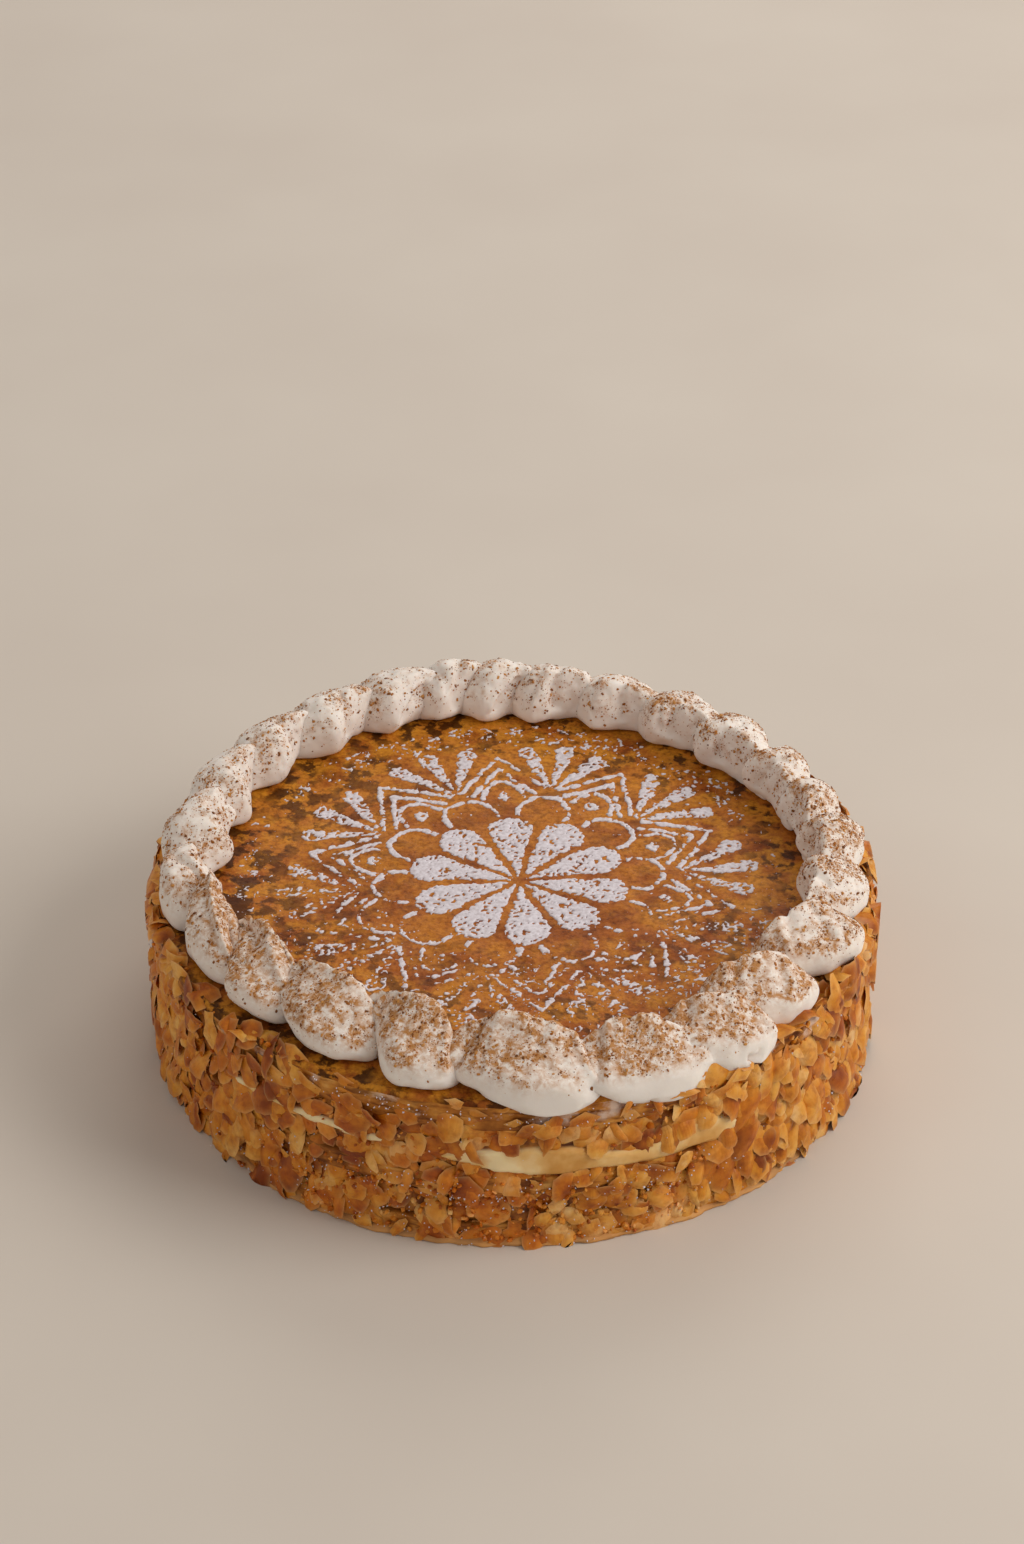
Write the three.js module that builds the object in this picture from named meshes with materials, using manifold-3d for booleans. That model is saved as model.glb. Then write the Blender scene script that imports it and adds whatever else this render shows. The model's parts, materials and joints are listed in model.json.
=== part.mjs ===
// Round mille-feuille: three puff pastry discs, two layers of custard between them, and a ring
// of piped cream swirls on the rim. Millimetres, +Z up, origin at the centre of the base.
import * as THREE from "three";
import Module from "manifold-3d";

// Heights of the layers, from the base up.
const pastryThickness = 8;
const middlePastryThickness = 7;
const topPastryThickness = 12;
const lowerCustardThickness = 13.4;
const upperCustardThickness = 18.4;
const touchGap = 0.3;
const cakeTop = pastryThickness + lowerCustardThickness + middlePastryThickness + upperCustardThickness
  + topPastryThickness + 4 * touchGap;

// Mean radii of the discs, and how ragged their edges are.
const pastryRadius = 127.2;
const middlePastryRadius = 127.2;
const topPastryRadius = 127.4;
const lowerCustardRadius = 124;
const upperCustardRadius = 125.4;
const pastryRagged = 1.5;
const custardRagged = 0.8;
const edgeRound = 2.4;
const discSegments = 56;

// The ring of cream. Each swirl is a comma along the ring, from its tail inside to its head outside.
const swirlRings = 9;
const swirlSides = 10;
const endRoundness = 2.4;
const tailDip = 5;
const headDip = 3;
const crestRuffle = 0.7;
const widestShare = 0.36;
const rimStart = 124.4;
const rimEnd = 128.8;
const rimDrop = 30;
const reachLimit = 128.75;
const cutSmoothing = 0.06;

// One row a swirl, piped by hand and so uneven: the angles (degrees, anticlockwise from +X) and radii of its
// tail and head, its reach outward and inward at tail and head, how far its crest leans, the height of its
// crest and of its lowest point, how far its outer face is scooped, how far its head bulges inward and how
// late along it swells.
const swirlNames = [
  "tail", "head", "tailRadius", "headRadius", "tailOut", "headOut", "tailIn", "headIn",
  "lean", "crest", "belly", "scoop", "bulge", "late",
];
const swirlRows = [
  [-9, 13.5, 106.5, 114.5, 6.5, 11, 4.5, 10, 0, 79.5, 60, 0.25, 4.2, 0.25],
  [5, 24.5, 104, 112, 6.5, 11, 4.5, 8, 0, 79.5, 60, 0.25, 4.2, 0.25],
  [16, 36.5, 103, 111.5, 6.5, 11, 4.5, 9, 0, 79.5, 60, 0.25, 4.2, 0.25],
  [28, 52.5, 103.5, 110, 6.5, 12, 4.5, 10, 0, 80, 60, 0.25, 4.2, 0.25],
  [42, 65.5, 104.5, 110, 6.5, 11, 4.5, 9, 0, 79.5, 60, 0.25, 4.2, 0.25],
  [56, 78.5, 106, 110.5, 6.5, 11, 4.5, 10, 0, 79.5, 60, 0.25, 4.2, 0.25],
  [70, 91.5, 107.5, 110.5, 6.5, 10, 4.5, 11, 0, 80.3, 60, 0.25, 4.2, 0.25],
  [82, 101.5, 109.5, 111, 6.5, 10, 4.5, 10, 0, 80.3, 60, 0.25, 4.2, 0.25],
  [91, 110.5, 111, 112.5, 6.5, 9, 4.5, 9, 0, 80.3, 60, 0.25, 4.2, 0.25],
  [100, 122.5, 111, 112.5, 6.5, 10, 4.5, 10, 0, 80, 60, 0.25, 4.2, 0.25],
  [114, 137.5, 110.5, 112, 6.5, 10, 4.5, 11, 0, 80, 60, 0.25, 4.2, 0.25],
  [128, 152.5, 111.5, 113, 6.5, 10, 4.5, 10, 0, 80, 60, 0.25, 4.2, 0.25],
  [143, 167.5, 111.5, 113.5, 6.5, 10, 4.5, 11, 0, 79.5, 60, 0.25, 4.2, 0.25],
  [158, 183, 108.5, 113.5, 6.5, 11.5, 4.5, 13, 0, 79.5, 60, 0.25, 2, 0.25],
  [177, 197, 112.5, 114, 8, 10.5, 5.5, 9, 0, 79, 60, 0.25, 0.5, 0.25],
  [187, 215, 104, 111.5, 6, 11, 5, 8, 0, 80, 60, 0.45, 0, 0.45],
  [202, 229, 103, 109.5, 3, 13, 6, 9, -4, 80, 60, 0.75, 0, 0.75],
  [219, 247, 103.5, 110.5, 7, 12, 6, 10, -5, 79.5, 60, 0.85, 0, 0.85],
  [238, 262, 100, 113.5, 2, 13, 6, 10, -6, 80, 59, 0.85, 0, 0.85],
  [256.5, 285, 107.5, 117.5, 9.5, 14.5, 8, 8, -5, 80, 55, 0.95, 0, 0.35],
  [278, 303, 112.5, 120, 14, 10.5, 6, 6, -4, 78.5, 52.5, 0.95, 0, 0.2],
  [295, 315, 108, 120.5, 12.5, 11.5, 9, 7, -3, 77.5, 54.5, 0.9, 0, 0.3],
  [307, 327.5, 100, 117, 9, 11, 9, 11, -2, 79, 56, 0.75, 0.5, 0.6],
  [324, 344, 99, 117.5, 9, 12, 9, 11, -2, 79.5, 59, 0.6, 1, 0.5],
  [337, 359, 104.5, 114.5, 6.5, 11, 4.5, 13, 0, 79.5, 60, 0.45, 3.2, 0.45],
];

// The cut across a scooped swirl: turns in degrees from its outer side over its crest to its inner side,
// and the shares of its reach and rise there.
const scoopedTurns = [0, 14, 27, 40, 56, 76, 94, 107, 120, 136, 158, 180];
const scoopedAcross = [1, 1, 0.94, 0.8, 0.5, 0.08, -0.26, -0.54, -0.74, -0.87, -0.97, -1];
const scoopedRise = [0, 0.19, 0.35, 0.44, 0.54, 0.72, 0.91, 1.04, 0.92, 0.66, 0.3, 0];

const wasm = await Module();
wasm.setup();

const pastryMaterial = new THREE.MeshStandardMaterial({ color: 0xb5722f, roughness: 0.75, metalness: 0 });
const custardMaterial = new THREE.MeshStandardMaterial({ color: 0xdcb978, roughness: 0.4, metalness: 0 });
const creamMaterial = new THREE.MeshStandardMaterial({ color: 0xe9ded0, roughness: 0.5, metalness: 0 });

// A closed skin from a start point, loops of points and an end point.
function closedSkin(start, loops, end) {
  const sides = loops[0].length;
  const points = [start, ...loops.flat(), end];
  const last = points.length - 1;
  const corner = (loop, side) => 1 + loop * sides + (side % sides);
  const faces = [];
  for (let side = 0; side < sides; side += 1) {
    faces.push(0, corner(0, side), corner(0, side + 1));
    for (let loop = 0; loop < loops.length - 1; loop += 1) {
      faces.push(corner(loop, side), corner(loop + 1, side), corner(loop + 1, side + 1));
      faces.push(corner(loop, side), corner(loop + 1, side + 1), corner(loop, side + 1));
    }
    faces.push(last, corner(loops.length - 1, side + 1), corner(loops.length - 1, side));
  }
  const geometry = new THREE.BufferGeometry().setFromPoints(points);
  geometry.setIndex(faces);
  return geometry;
}

// Ragged outline of a disc: a round with a few waves, which crests on the four axes.
function outlineRadius(disc, angle) {
  const broad = Math.cos(4 * angle) + 0.45 * Math.cos(3 * angle + disc.turn);
  const fine = 0.5 * Math.cos(13 * angle + 2 * disc.turn) + 0.4 * Math.cos(19 * angle - disc.turn);
  return disc.radius + disc.ragged * (broad * 0.7 + fine);
}

// A disc with a rounded edge. Grow makes it larger all round, for cutting its neighbours clear.
function discGeometry(disc, grow = 0) {
  const low = -grow;
  const high = disc.thickness + grow;
  const round = Math.min(edgeRound, disc.thickness / 3);
  const profile = [
    [disc.foot, low],
    [0, low + round * disc.footLift],
    [0, high - round],
    [round * 0.4, high - round * 0.3],
    [round * 1.4, high],
  ];
  const loops = profile.map(([inset, height]) => {
    const loop = [];
    for (let side = 0; side < discSegments; side += 1) {
      const angle = (-2 * Math.PI * side) / discSegments;
      const radius = outlineRadius(disc, angle) - inset + grow;
      loop.push(new THREE.Vector3(radius * Math.cos(angle), radius * Math.sin(angle), height));
    }
    return loop;
  });
  return closedSkin(new THREE.Vector3(0, 0, low), loops, new THREE.Vector3(0, 0, high));
}

// Straight lines between the points of a table.
function between(value, turns, shares) {
  const next = Math.max(1, turns.findIndex((turn) => turn >= value));
  const share = (value - turns[next - 1]) / (turns[next] - turns[next - 1]);
  return THREE.MathUtils.lerp(shares[next - 1], shares[next], share);
}

// Raises a number to a power and keeps its sign.
function bent(value, power) {
  return Math.sign(value) * Math.abs(value) ** power;
}

// Lowest height that cream may reach at a radius: it lies on the crust and hangs over its rim.
function creamFloor(radius, grow) {
  return -grow - rimDrop * THREE.MathUtils.smoothstep(radius - grow, rimStart, rimEnd);
}

// A piped swirl is a comma along the ring, scooped on its outer face where the plan says so.
function swirlGeometry(swirl, grow = 0) {
  const { smoothstep, lerp, degToRad } = THREE.MathUtils;
  const centre = (along) => {
    const angle = degToRad(swirl.tail + (swirl.head - swirl.tail) * along);
    const radius = lerp(swirl.tailRadius, swirl.headRadius, smoothstep(along, -0.15, 0.9));
    return new THREE.Vector3(radius * Math.cos(angle), radius * Math.sin(angle), 0);
  };
  const settled = (point) => {
    const radius = Math.hypot(point.x, point.y);
    const share = Math.min(1, (reachLimit + grow) / radius);
    return point.set(point.x * share, point.y * share, Math.max(point.z, creamFloor(radius, grow)));
  };
  const power = 2 / endRoundness;
  const loops = [];
  for (let ring = 1; ring < swirlRings; ring += 1) {
    const turn = (Math.PI * ring) / swirlRings;
    const along = 0.5 - 0.5 * bent(Math.cos(turn), power);
    const taper = Math.sin(turn) ** power;
    const middle = centre(along);
    const ahead = centre(along + 0.01).sub(centre(along - 0.01)).normalize();
    const outward = new THREE.Vector3(ahead.y, -ahead.x, 0);
    const grown = smoothstep(along, 0.32 * swirl.late, 0.65 + 0.03 * swirl.late);
    const hang = 60 - swirl.belly;
    const reachOut = lerp(swirl.tailOut, swirl.headOut, grown) - 0.3 * hang * smoothstep(along, 0.65, 1);
    const reachIn = lerp(swirl.tailIn, swirl.headIn, grown) + swirl.bulge * Math.exp(-(((along - 0.74) / 0.15) ** 2));
    const crest = swirl.crest + crestRuffle - cakeTop;
    const top = crest - tailDip * (1 - smoothstep(along, 0, 0.3)) - headDip * smoothstep(along, 0.6, 1);
    const low = -0.5 - hang * (smoothstep(along, 0.1, 0.55) - 0.4 * smoothstep(along, 0.68, 1));
    const widest = low + (top - low) * widestShare;
    const scooped = swirl.scoop * smoothstep(along, 0, 0.2) * (1 - 0.55 * smoothstep(along, 0.75, 1));
    const loop = [];
    for (let side = 0; side < swirlSides; side += 1) {
      const around = (2 * Math.PI * side) / swirlSides;
      const degrees = (360 * side) / swirlSides;
      let rise = Math.sin(around);
      let across = bent(Math.cos(around), rise < -1e-6 ? 0.55 : 0.85);
      rise = bent(rise, rise < 0 ? 0.8 : 0.85);
      if (degrees < 180) {
        across = lerp(across, between(degrees, scoopedTurns, scoopedAcross), scooped);
        rise = lerp(rise, between(degrees, scoopedTurns, scoopedRise), scooped);
      }
      const lean = swirl.lean * Math.max(rise, 0) ** 1.5 * smoothstep(along, 0, 0.4);
      const wide = ((across > 0 ? reachOut : reachIn) * across + lean) * taper + grow * Math.cos(around);
      const raised = swirl.late * (1 - smoothstep(along, 0.3, 0.62)) * smoothstep(across, 0, 0.6);
      const drop = (widest - low) * Math.sqrt(taper) * (1 - 0.6 * raised);
      const tall = (rise > 0 ? (top - widest) * taper : drop) * rise + grow * Math.sin(around);
      const height = widest - (1 - taper) * (widest - low) * 0.5;
      loop.push(settled(middle.clone().addScaledVector(outward, wide).setZ(height + tall)));
    }
    loops.push(loop);
  }
  const ends = [loops[0], loops[loops.length - 1]].map((loop, atHead) => {
    const spread = (grow / swirl.headRadius) * (180 / Math.PI) / (swirl.head - swirl.tail);
    const height = loop.reduce((sum, point) => sum + point.z, 0) / loop.length;
    return centre(atHead ? 1 + spread : -spread).setZ(height);
  });
  return closedSkin(ends[0], loops, ends[1]);
}

function toSolid(geometry) {
  const vertProperties = new Float32Array(geometry.getAttribute("position").array);
  const triVerts = new Uint32Array(geometry.getIndex().array);
  return new wasm.Manifold(new wasm.Mesh({ numProp: 3, vertProperties, triVerts }));
}

function toGeometry(solid) {
  const mesh = solid.getMesh();
  const geometry = new THREE.BufferGeometry();
  geometry.setAttribute("position", new THREE.BufferAttribute(mesh.vertProperties, 3));
  geometry.setIndex(new THREE.BufferAttribute(mesh.triVerts, 1));
  return geometry;
}

function largestPiece(solid) {
  return solid.decompose().reduce((best, piece) => (piece.volume() > best.volume() ? piece : best));
}

function addMesh(parent, name, geometry, material) {
  geometry.computeVertexNormals();
  const mesh = new THREE.Mesh(geometry, material);
  mesh.name = name;
  parent.add(mesh);
  return mesh;
}

const cake = new THREE.Group();

// The discs are stacked from the base up, each a touch clear of the one below.
const discs = [
  { name: "bottom_pastry", radius: pastryRadius, thickness: pastryThickness, turn: 0.6 },
  { name: "lower_custard", radius: lowerCustardRadius, thickness: lowerCustardThickness, turn: 2.1 },
  { name: "middle_pastry", radius: middlePastryRadius, thickness: middlePastryThickness, turn: 3.7 },
  { name: "upper_custard", radius: upperCustardRadius, thickness: upperCustardThickness, turn: 5.2 },
  { name: "top_pastry", radius: topPastryRadius, thickness: topPastryThickness, turn: 1.3 },
];
let stackHeight = 0;
for (const disc of discs) {
  const isPastry = disc.name.endsWith("pastry");
  disc.ragged = isPastry ? pastryRagged : custardRagged;
  disc.foot = isPastry ? 1.2 : edgeRound;
  disc.footLift = isPastry ? 0.4 : 1;
  const mesh = addMesh(cake, disc.name, discGeometry(disc), isPastry ? pastryMaterial : custardMaterial);
  mesh.position.z = stackHeight;
  stackHeight += disc.thickness + touchGap;
}
const topPastry = discs[discs.length - 1];

// Each swirl's tail runs in under the head of the swirl before it, which cuts it clear.
const swirlRing = new THREE.Group();
swirlRing.position.z = cakeTop;
cake.add(swirlRing);
const topPastryClear = toSolid(discGeometry(topPastry, touchGap)).translate([0, 0, -topPastry.thickness]);
const swirls = swirlRows.map((row) => Object.fromEntries(row.map((value, at) => [swirlNames[at], value])));
swirls.forEach((swirl, index) => {
  const count = swirls.length;
  const before = toSolid(swirlGeometry(swirls[(index + count - 1) % count], touchGap));
  const twoBefore = toSolid(swirlGeometry(swirls[(index + count - 2) % count], touchGap));
  const whole = toSolid(swirlGeometry(swirl));
  const cut = whole.subtract(before).subtract(twoBefore).subtract(topPastryClear).simplify(cutSmoothing);
  const name = `cream_swirl_${String(index + 1).padStart(2, "0")}`;
  addMesh(swirlRing, name, toGeometry(largestPiece(cut)), creamMaterial);
});

export default cake;
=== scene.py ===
import json
import math
from functools import partial
import bpy
import numpy as np
from mathutils import Matrix, Vector
from mathutils.bvhtree import BVHTree

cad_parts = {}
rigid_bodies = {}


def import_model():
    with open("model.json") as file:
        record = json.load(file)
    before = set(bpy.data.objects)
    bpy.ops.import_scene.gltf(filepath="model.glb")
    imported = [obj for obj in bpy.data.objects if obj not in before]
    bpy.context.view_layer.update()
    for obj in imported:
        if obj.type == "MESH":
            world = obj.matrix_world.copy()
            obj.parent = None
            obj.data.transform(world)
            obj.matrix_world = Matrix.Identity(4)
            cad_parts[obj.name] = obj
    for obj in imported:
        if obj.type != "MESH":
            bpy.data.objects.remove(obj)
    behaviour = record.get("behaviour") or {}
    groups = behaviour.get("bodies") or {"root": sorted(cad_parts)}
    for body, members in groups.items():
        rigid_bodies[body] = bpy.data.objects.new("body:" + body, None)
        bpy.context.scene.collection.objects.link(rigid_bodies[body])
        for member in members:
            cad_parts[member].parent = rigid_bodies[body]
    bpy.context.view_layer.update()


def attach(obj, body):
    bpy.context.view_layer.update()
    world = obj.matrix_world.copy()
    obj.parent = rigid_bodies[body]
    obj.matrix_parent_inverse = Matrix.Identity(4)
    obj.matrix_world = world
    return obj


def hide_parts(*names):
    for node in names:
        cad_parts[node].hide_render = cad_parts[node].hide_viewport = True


# A round mille-feuille: three puff pastry discs, two layers of custard, sides covered in baked
# flakes, an icing sugar stencil on the glazed top, and a ring of piped cream dusted with cocoa.
# Metres, +Z up, the origin at the centre of the base.
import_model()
mm = 0.001
cakeTop = 60 * mm
sideLimit = 128.7 * mm  # nothing reaches further out or up, so all of it stays in the CAD model's box
topLimit = 80.7 * mm
clearance = 0.05 * mm

# Where the photograph was taken from: place in millimetres, tilts in degrees, focal length.
camera = dict(place=(-0.45, -1029.88, 789.06), downward=33.62, roll=0.27, lens=83.94)


def makeCamera(settings):
    down, roll = math.radians(settings["downward"]), math.radians(settings["roll"])
    right, up = Vector((1, 0, 0)), Vector((0, math.sin(down), math.cos(down)))
    back = Vector((0, -math.cos(down), math.sin(down)))
    axes = (right * math.cos(roll) + up * math.sin(roll), up * math.cos(roll) - right * math.sin(roll), back)
    lens = bpy.data.cameras.new("camera")
    lens.lens = settings["lens"]
    lens.sensor_width = 36
    lens.clip_end = 50
    holder = bpy.data.objects.new("camera", lens)
    place = Vector(settings["place"]) * mm
    holder.matrix_world = Matrix.Translation(place) @ Matrix(axes).transposed().to_4x4()
    bpy.context.scene.collection.objects.link(holder)
    bpy.context.scene.camera = holder


# Each lamp: where it stands, how wide it is, its power in watts and its warmth.
lamps = dict(
    window=dict(place=(1.6, -0.3, 1.25), size=1.2, power=23.5, colour="#fff9f2"),
    backWindow=dict(place=(0.5, 1.9, 1.5), size=1.6, power=16.5, colour="#fff4ea"),
    leftFill=dict(place=(-1.6, -1.2, 1.2), size=1.6, power=3.6, colour="#ffebd2"),
)
room = dict(colour="#f4efe9", strength=0.42, floorReach=4, lampAim=(0, 0, 0.04))


def makeStudio():
    for name, lamp in lamps.items():
        light = bpy.data.lights.new(name, "AREA")
        light.size = lamp["size"]
        light.energy = lamp["power"]
        light.color = linear(lamp["colour"])[:3]
        holder = bpy.data.objects.new(name, light)
        place = Vector(lamp["place"])
        aim = (Vector(room["lampAim"]) - place).to_track_quat("-Z", "Y")
        holder.matrix_world = Matrix.LocRotScale(place, aim, None)
        bpy.context.scene.collection.objects.link(holder)
    world = bpy.data.worlds.new("room")
    world.use_nodes = True
    background = world.node_tree.nodes["Background"]
    background.inputs["Color"].default_value = linear(room["colour"])
    background.inputs["Strength"].default_value = room["strength"]
    bpy.context.scene.world = world
    bpy.context.scene.view_settings.view_transform = "Standard"
    half = room["floorReach"]
    corners = [(-half, -half, 0), (half, -half, 0), (half, half, 0), (-half, half, 0)]
    meshPiece("floor", np.array(corners, float), [[0, 1, 2, 3]], paperFloor())


def linear(hexText):
    parts = [int(hexText[at:at + 2], 16) / 255 for at in (1, 3, 5)]
    return tuple(p / 12.92 if p <= 0.04045 else ((p + 0.055) / 1.055) ** 2.4 for p in parts) + (1.0,)


def socketOf(sockets, name):
    return next(socket for socket in sockets if socket.enabled and name in (socket.name, socket.identifier))


# Adds a node: its settings, its inputs as values, hex colours or links, and the stops of a colour ramp.
def addNode(tree, family, kind, inputs=None, stops=None, **settings):
    node = tree.nodes.new(family + kind)
    for name, value in settings.items():
        setattr(node, name, value)
    if stops:
        ramp = node.color_ramp
        ramp.elements.remove(ramp.elements[1])
        ramp.elements[0].position = stops[0][0]
        ramp.elements[0].color = linear(stops[0][1])
        for place, colour in stops[1:]:
            ramp.elements.new(place).color = linear(colour)
    for name, value in (inputs or {}).items():
        socket = socketOf(node.inputs, name)
        if isinstance(value, bpy.types.Node):
            value = next(output for output in value.outputs if output.enabled)
        if isinstance(value, bpy.types.NodeSocket):
            tree.links.new(value, socket)
        else:
            isColour = isinstance(value, str) and value.startswith("#")
            socket.default_value = linear(value) if isColour else value
    return node


# An empty material, the way to add nodes to it, and the object coordinates that its patterns read.
def newFinish(name):
    finish = bpy.data.materials.new(name)
    finish.use_nodes = True
    finish.node_tree.nodes.clear()
    add = partial(addNode, finish.node_tree, "ShaderNode")
    return finish, add, socketOf(add("TexCoord").outputs, "Object")


def meshPiece(name, points, faces, finish):
    mesh = bpy.data.meshes.new(name)
    mesh.from_pydata(np.asarray(points).tolist(), [], faces if isinstance(faces, list) else faces.tolist())
    mesh.polygons.foreach_set("use_smooth", np.full(len(mesh.polygons), True))
    if finish:
        mesh.materials.append(finish)
    mesh.update()
    piece = bpy.data.objects.new(name, mesh)
    bpy.context.scene.collection.objects.link(piece)
    return piece


def keepPiece(piece, slot, *nodes):
    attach(piece, "root")
    if nodes:
        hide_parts(*nodes)


def setAttribute(mesh, name, values):
    attribute = mesh.attributes.new(name, "FLOAT", "POINT")
    attribute.data.foreach_set("value", np.ascontiguousarray(values, dtype=np.float32))


def vectorsOf(items, key):
    flat = np.zeros(len(items) * 3, np.float32)
    items.foreach_get(key, flat)
    return flat.reshape(-1, 3).astype(float)


def pointsOf(mesh):
    return vectorsOf(mesh.vertices, "co")


def normalsOf(mesh):
    return vectorsOf(mesh.vertex_normals, "vector")


def setPoints(mesh, points):
    mesh.vertices.foreach_set("co", np.ascontiguousarray(points, dtype=np.float32).ravel())
    mesh.update()


# Smooth lumps of about one `size`, from -1 to 1, the same each run.
def lumps(points, size, seed):
    cells = np.asarray(points, float) / size + seed * 17.31
    low = np.floor(cells)
    part = cells - low
    part = part * part * (3 - 2 * part)
    low = low.astype(np.int64)
    total = np.zeros(len(cells))
    for corner in range(8):
        step = np.array([corner & 1, corner >> 1 & 1, corner >> 2 & 1])
        spot = low + step
        mixed = spot[:, 0] * 73856093 ^ spot[:, 1] * 19349663 ^ spot[:, 2] * 83492791 ^ seed * 2654435
        mixed = (mixed ^ mixed >> 15) * 2246822519 & 0xFFFFFFFF
        mixed = (mixed ^ mixed >> 13) * 3266489917 & 0xFFFFFFFF
        value = ((mixed ^ mixed >> 16) & 0xFFFFFF) / 0x7FFFFF - 1
        total += value * np.prod(np.where(step, part, 1 - part), axis=1)
    return total


def layeredLumps(points, size, seed):
    return (lumps(points, size, seed) + 0.5 * lumps(points, size / 2.1, seed + 1)) / 1.3


def smoothStep(values, low, high):
    share = np.clip((values - low) / (high - low), 0, 1)
    return share * share * (3 - 2 * share)


# Rises from 0 to 1 between the first two limits and falls again between the last two.
def plateau(values, low, full, still, high):
    return smoothStep(values, low, full) * (1 - smoothStep(values, still, high))


# A share of 1 within halfWidth degrees of the centre, fading over the next `soft` degrees.
def around(degrees, centre, halfWidth, soft):
    away = np.abs((degrees - centre + 180) % 360 - 180)
    return 1 - smoothStep(away, halfWidth, halfWidth + soft)


# The sum of such shares, each with its weight before its place.
def aroundAll(degrees, *places):
    return sum(weight * around(degrees, *place) for weight, *place in places)


def degreesOf(points):
    return np.degrees(np.arctan2(points[:, 1], points[:, 0])) % 360


# Points on the round side at angles and heights, in millimetres.
def sideSpots(degrees, height):
    turn = np.radians(degrees)
    return np.stack([np.cos(turn) * 125, np.sin(turn) * 125, height], axis=-1)


# Joins loops of points into a closed skin, with a point at each end; the loops turn
# anticlockwise round the way they are stacked.
def closedSkin(start, loops, end):
    count, sides = len(loops), len(loops[0])
    points = np.concatenate([[start], np.concatenate(loops), [end]])
    near = np.arange(sides)
    far = (near + 1) % sides
    faces = [[0, 1 + b, 1 + a] for a, b in zip(near, far)]
    last = 1 + (count - 1) * sides
    for base in range(1, last, sides):
        faces += np.stack([base + near, base + far, base + sides + far, base + sides + near], axis=1).tolist()
    faces += [[len(points) - 1, last + a, last + b] for a, b in zip(near, far)]
    return points, faces


# A pattern: noise of one scale, moved by `shift` and raised by `more`, then tinted by a ramp.
def clouded(add, coords, scale, detail, stops, roughness=0.5, shift=0.0, more=0.0):
    place = add("Mapping", {"Vector": coords, "Location": (shift, shift, 0.0)})
    noise = add("TexNoise", {"Vector": place, "Scale": scale, "Detail": detail, "Roughness": roughness})
    raised = add("Math", {"Value": noise, "Value_001": more}, operation="ADD")
    return add("ValToRGB", {"Fac": raised}, stops)


# Adds the shader with its inputs and gives the finished material.
def closeFinish(finish, add, inputs):
    add("OutputMaterial", {"Surface": add("BsdfPrincipled", inputs)})
    return finish


# Floor: plain pale paper, matt, so that it only gives back soft light.
def paperFloor():
    finish, add, coords = newFinish("palePaper")
    tint = clouded(add, coords, 6.0, 3.0, [(0.3, "#d3cac0"), (0.7, "#d8d0c6")])
    return closeFinish(finish, add, {"Base Color": tint, "Roughness": 0.9})


# Top crust: puff pastry baked under sugar, so amber caramel, golden at the back, with scorched flecks
# that are thickest towards the rim and the left.
def caramelCrust():
    finish, add, coords = newFinish("caramelisedPuffPastry")
    away = socketOf(add("VectorMath", {"Vector": coords}, operation="LENGTH").outputs, "Value")
    outer = add("MapRange", {"Value": away, "From Min": 70 * mm, "From Max": 115 * mm, "To Min": 0.25})
    axes = add("SeparateXYZ", {"Vector": coords}).outputs
    sideways, backward = socketOf(axes, "X"), socketOf(axes, "Y")
    backPart = add("MapRange", {"Value": backward, "From Min": 0.0, "From Max": 100 * mm})
    leftPart = add("MapRange", {"Value": sideways, "From Min": -20 * mm, "From Max": -80 * mm,
                   "To Max": 0.035})
    base = clouded(add, coords, 62.0, 5.0, [(0.34, "#87440f"), (0.48, "#ad6224"), (0.62, "#c57c29")], 0.6)
    backBase = clouded(add, coords, 62.0, 5.0, [(0.34, "#a6581b"), (0.5, "#d4892e")], 0.6)
    golden = clouded(add, coords, 105.0, 6.0, [(0.47, "#000000"), (0.57, "#e6e6e6")], 0.6, 0.31)
    scorch = clouded(add, coords, 165.0, 7.0, [(0.505, "#000000"), (0.565, "#f4f4f4")], 0.6, 0.57, leftPart)
    region = clouded(add, coords, 48.0, 3.0, [(0.40, "#303030"), (0.54, "#ffffff")], 0.6, 0.83, leftPart)
    flecks = clouded(add, coords, 520.0, 5.0, [(0.30, "#9a8068"), (0.47, "#e6dccf"), (0.62, "#ffffff")],
                     0.6, 0.11)
    goldenPart = add("Math", {"Value": golden, "Value_001": outer}, operation="MULTIPLY")
    scorchPart = add("Math", {"Value": scorch, "Value_001": outer}, operation="MULTIPLY")
    scorchMask = add("Math", {"Value": scorchPart, "Value_001": region}, operation="MULTIPLY")
    colour = base
    coats = ((backPart, backBase, "MIX"), (goldenPart, "#d6922c", "MIX"), (scorchMask, "#452309", "MIX"),
             (0.8, flecks, "MULTIPLY"))
    for share, coat, blend in coats:
        colour = add("Mix", {"Factor": share, "A": colour, "B": coat}, data_type="RGBA", blend_type=blend)
    fine = add("TexNoise", {"Vector": coords, "Scale": 360.0, "Detail": 6.0, "Roughness": 0.65})
    gloss = add("MapRange", {"Value": fine, "From Min": 0.3, "From Max": 0.7, "To Min": 0.32, "To Max": 0.6})
    bump = add("Bump", {"Strength": 0.55, "Distance": 0.8 * mm, "Height": fine})
    return closeFinish(finish, add, {"Base Color": colour, "Roughness": gloss, "Normal": bump, "IOR": 1.45,
                                     "Specular IOR Level": 0.14})


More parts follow.
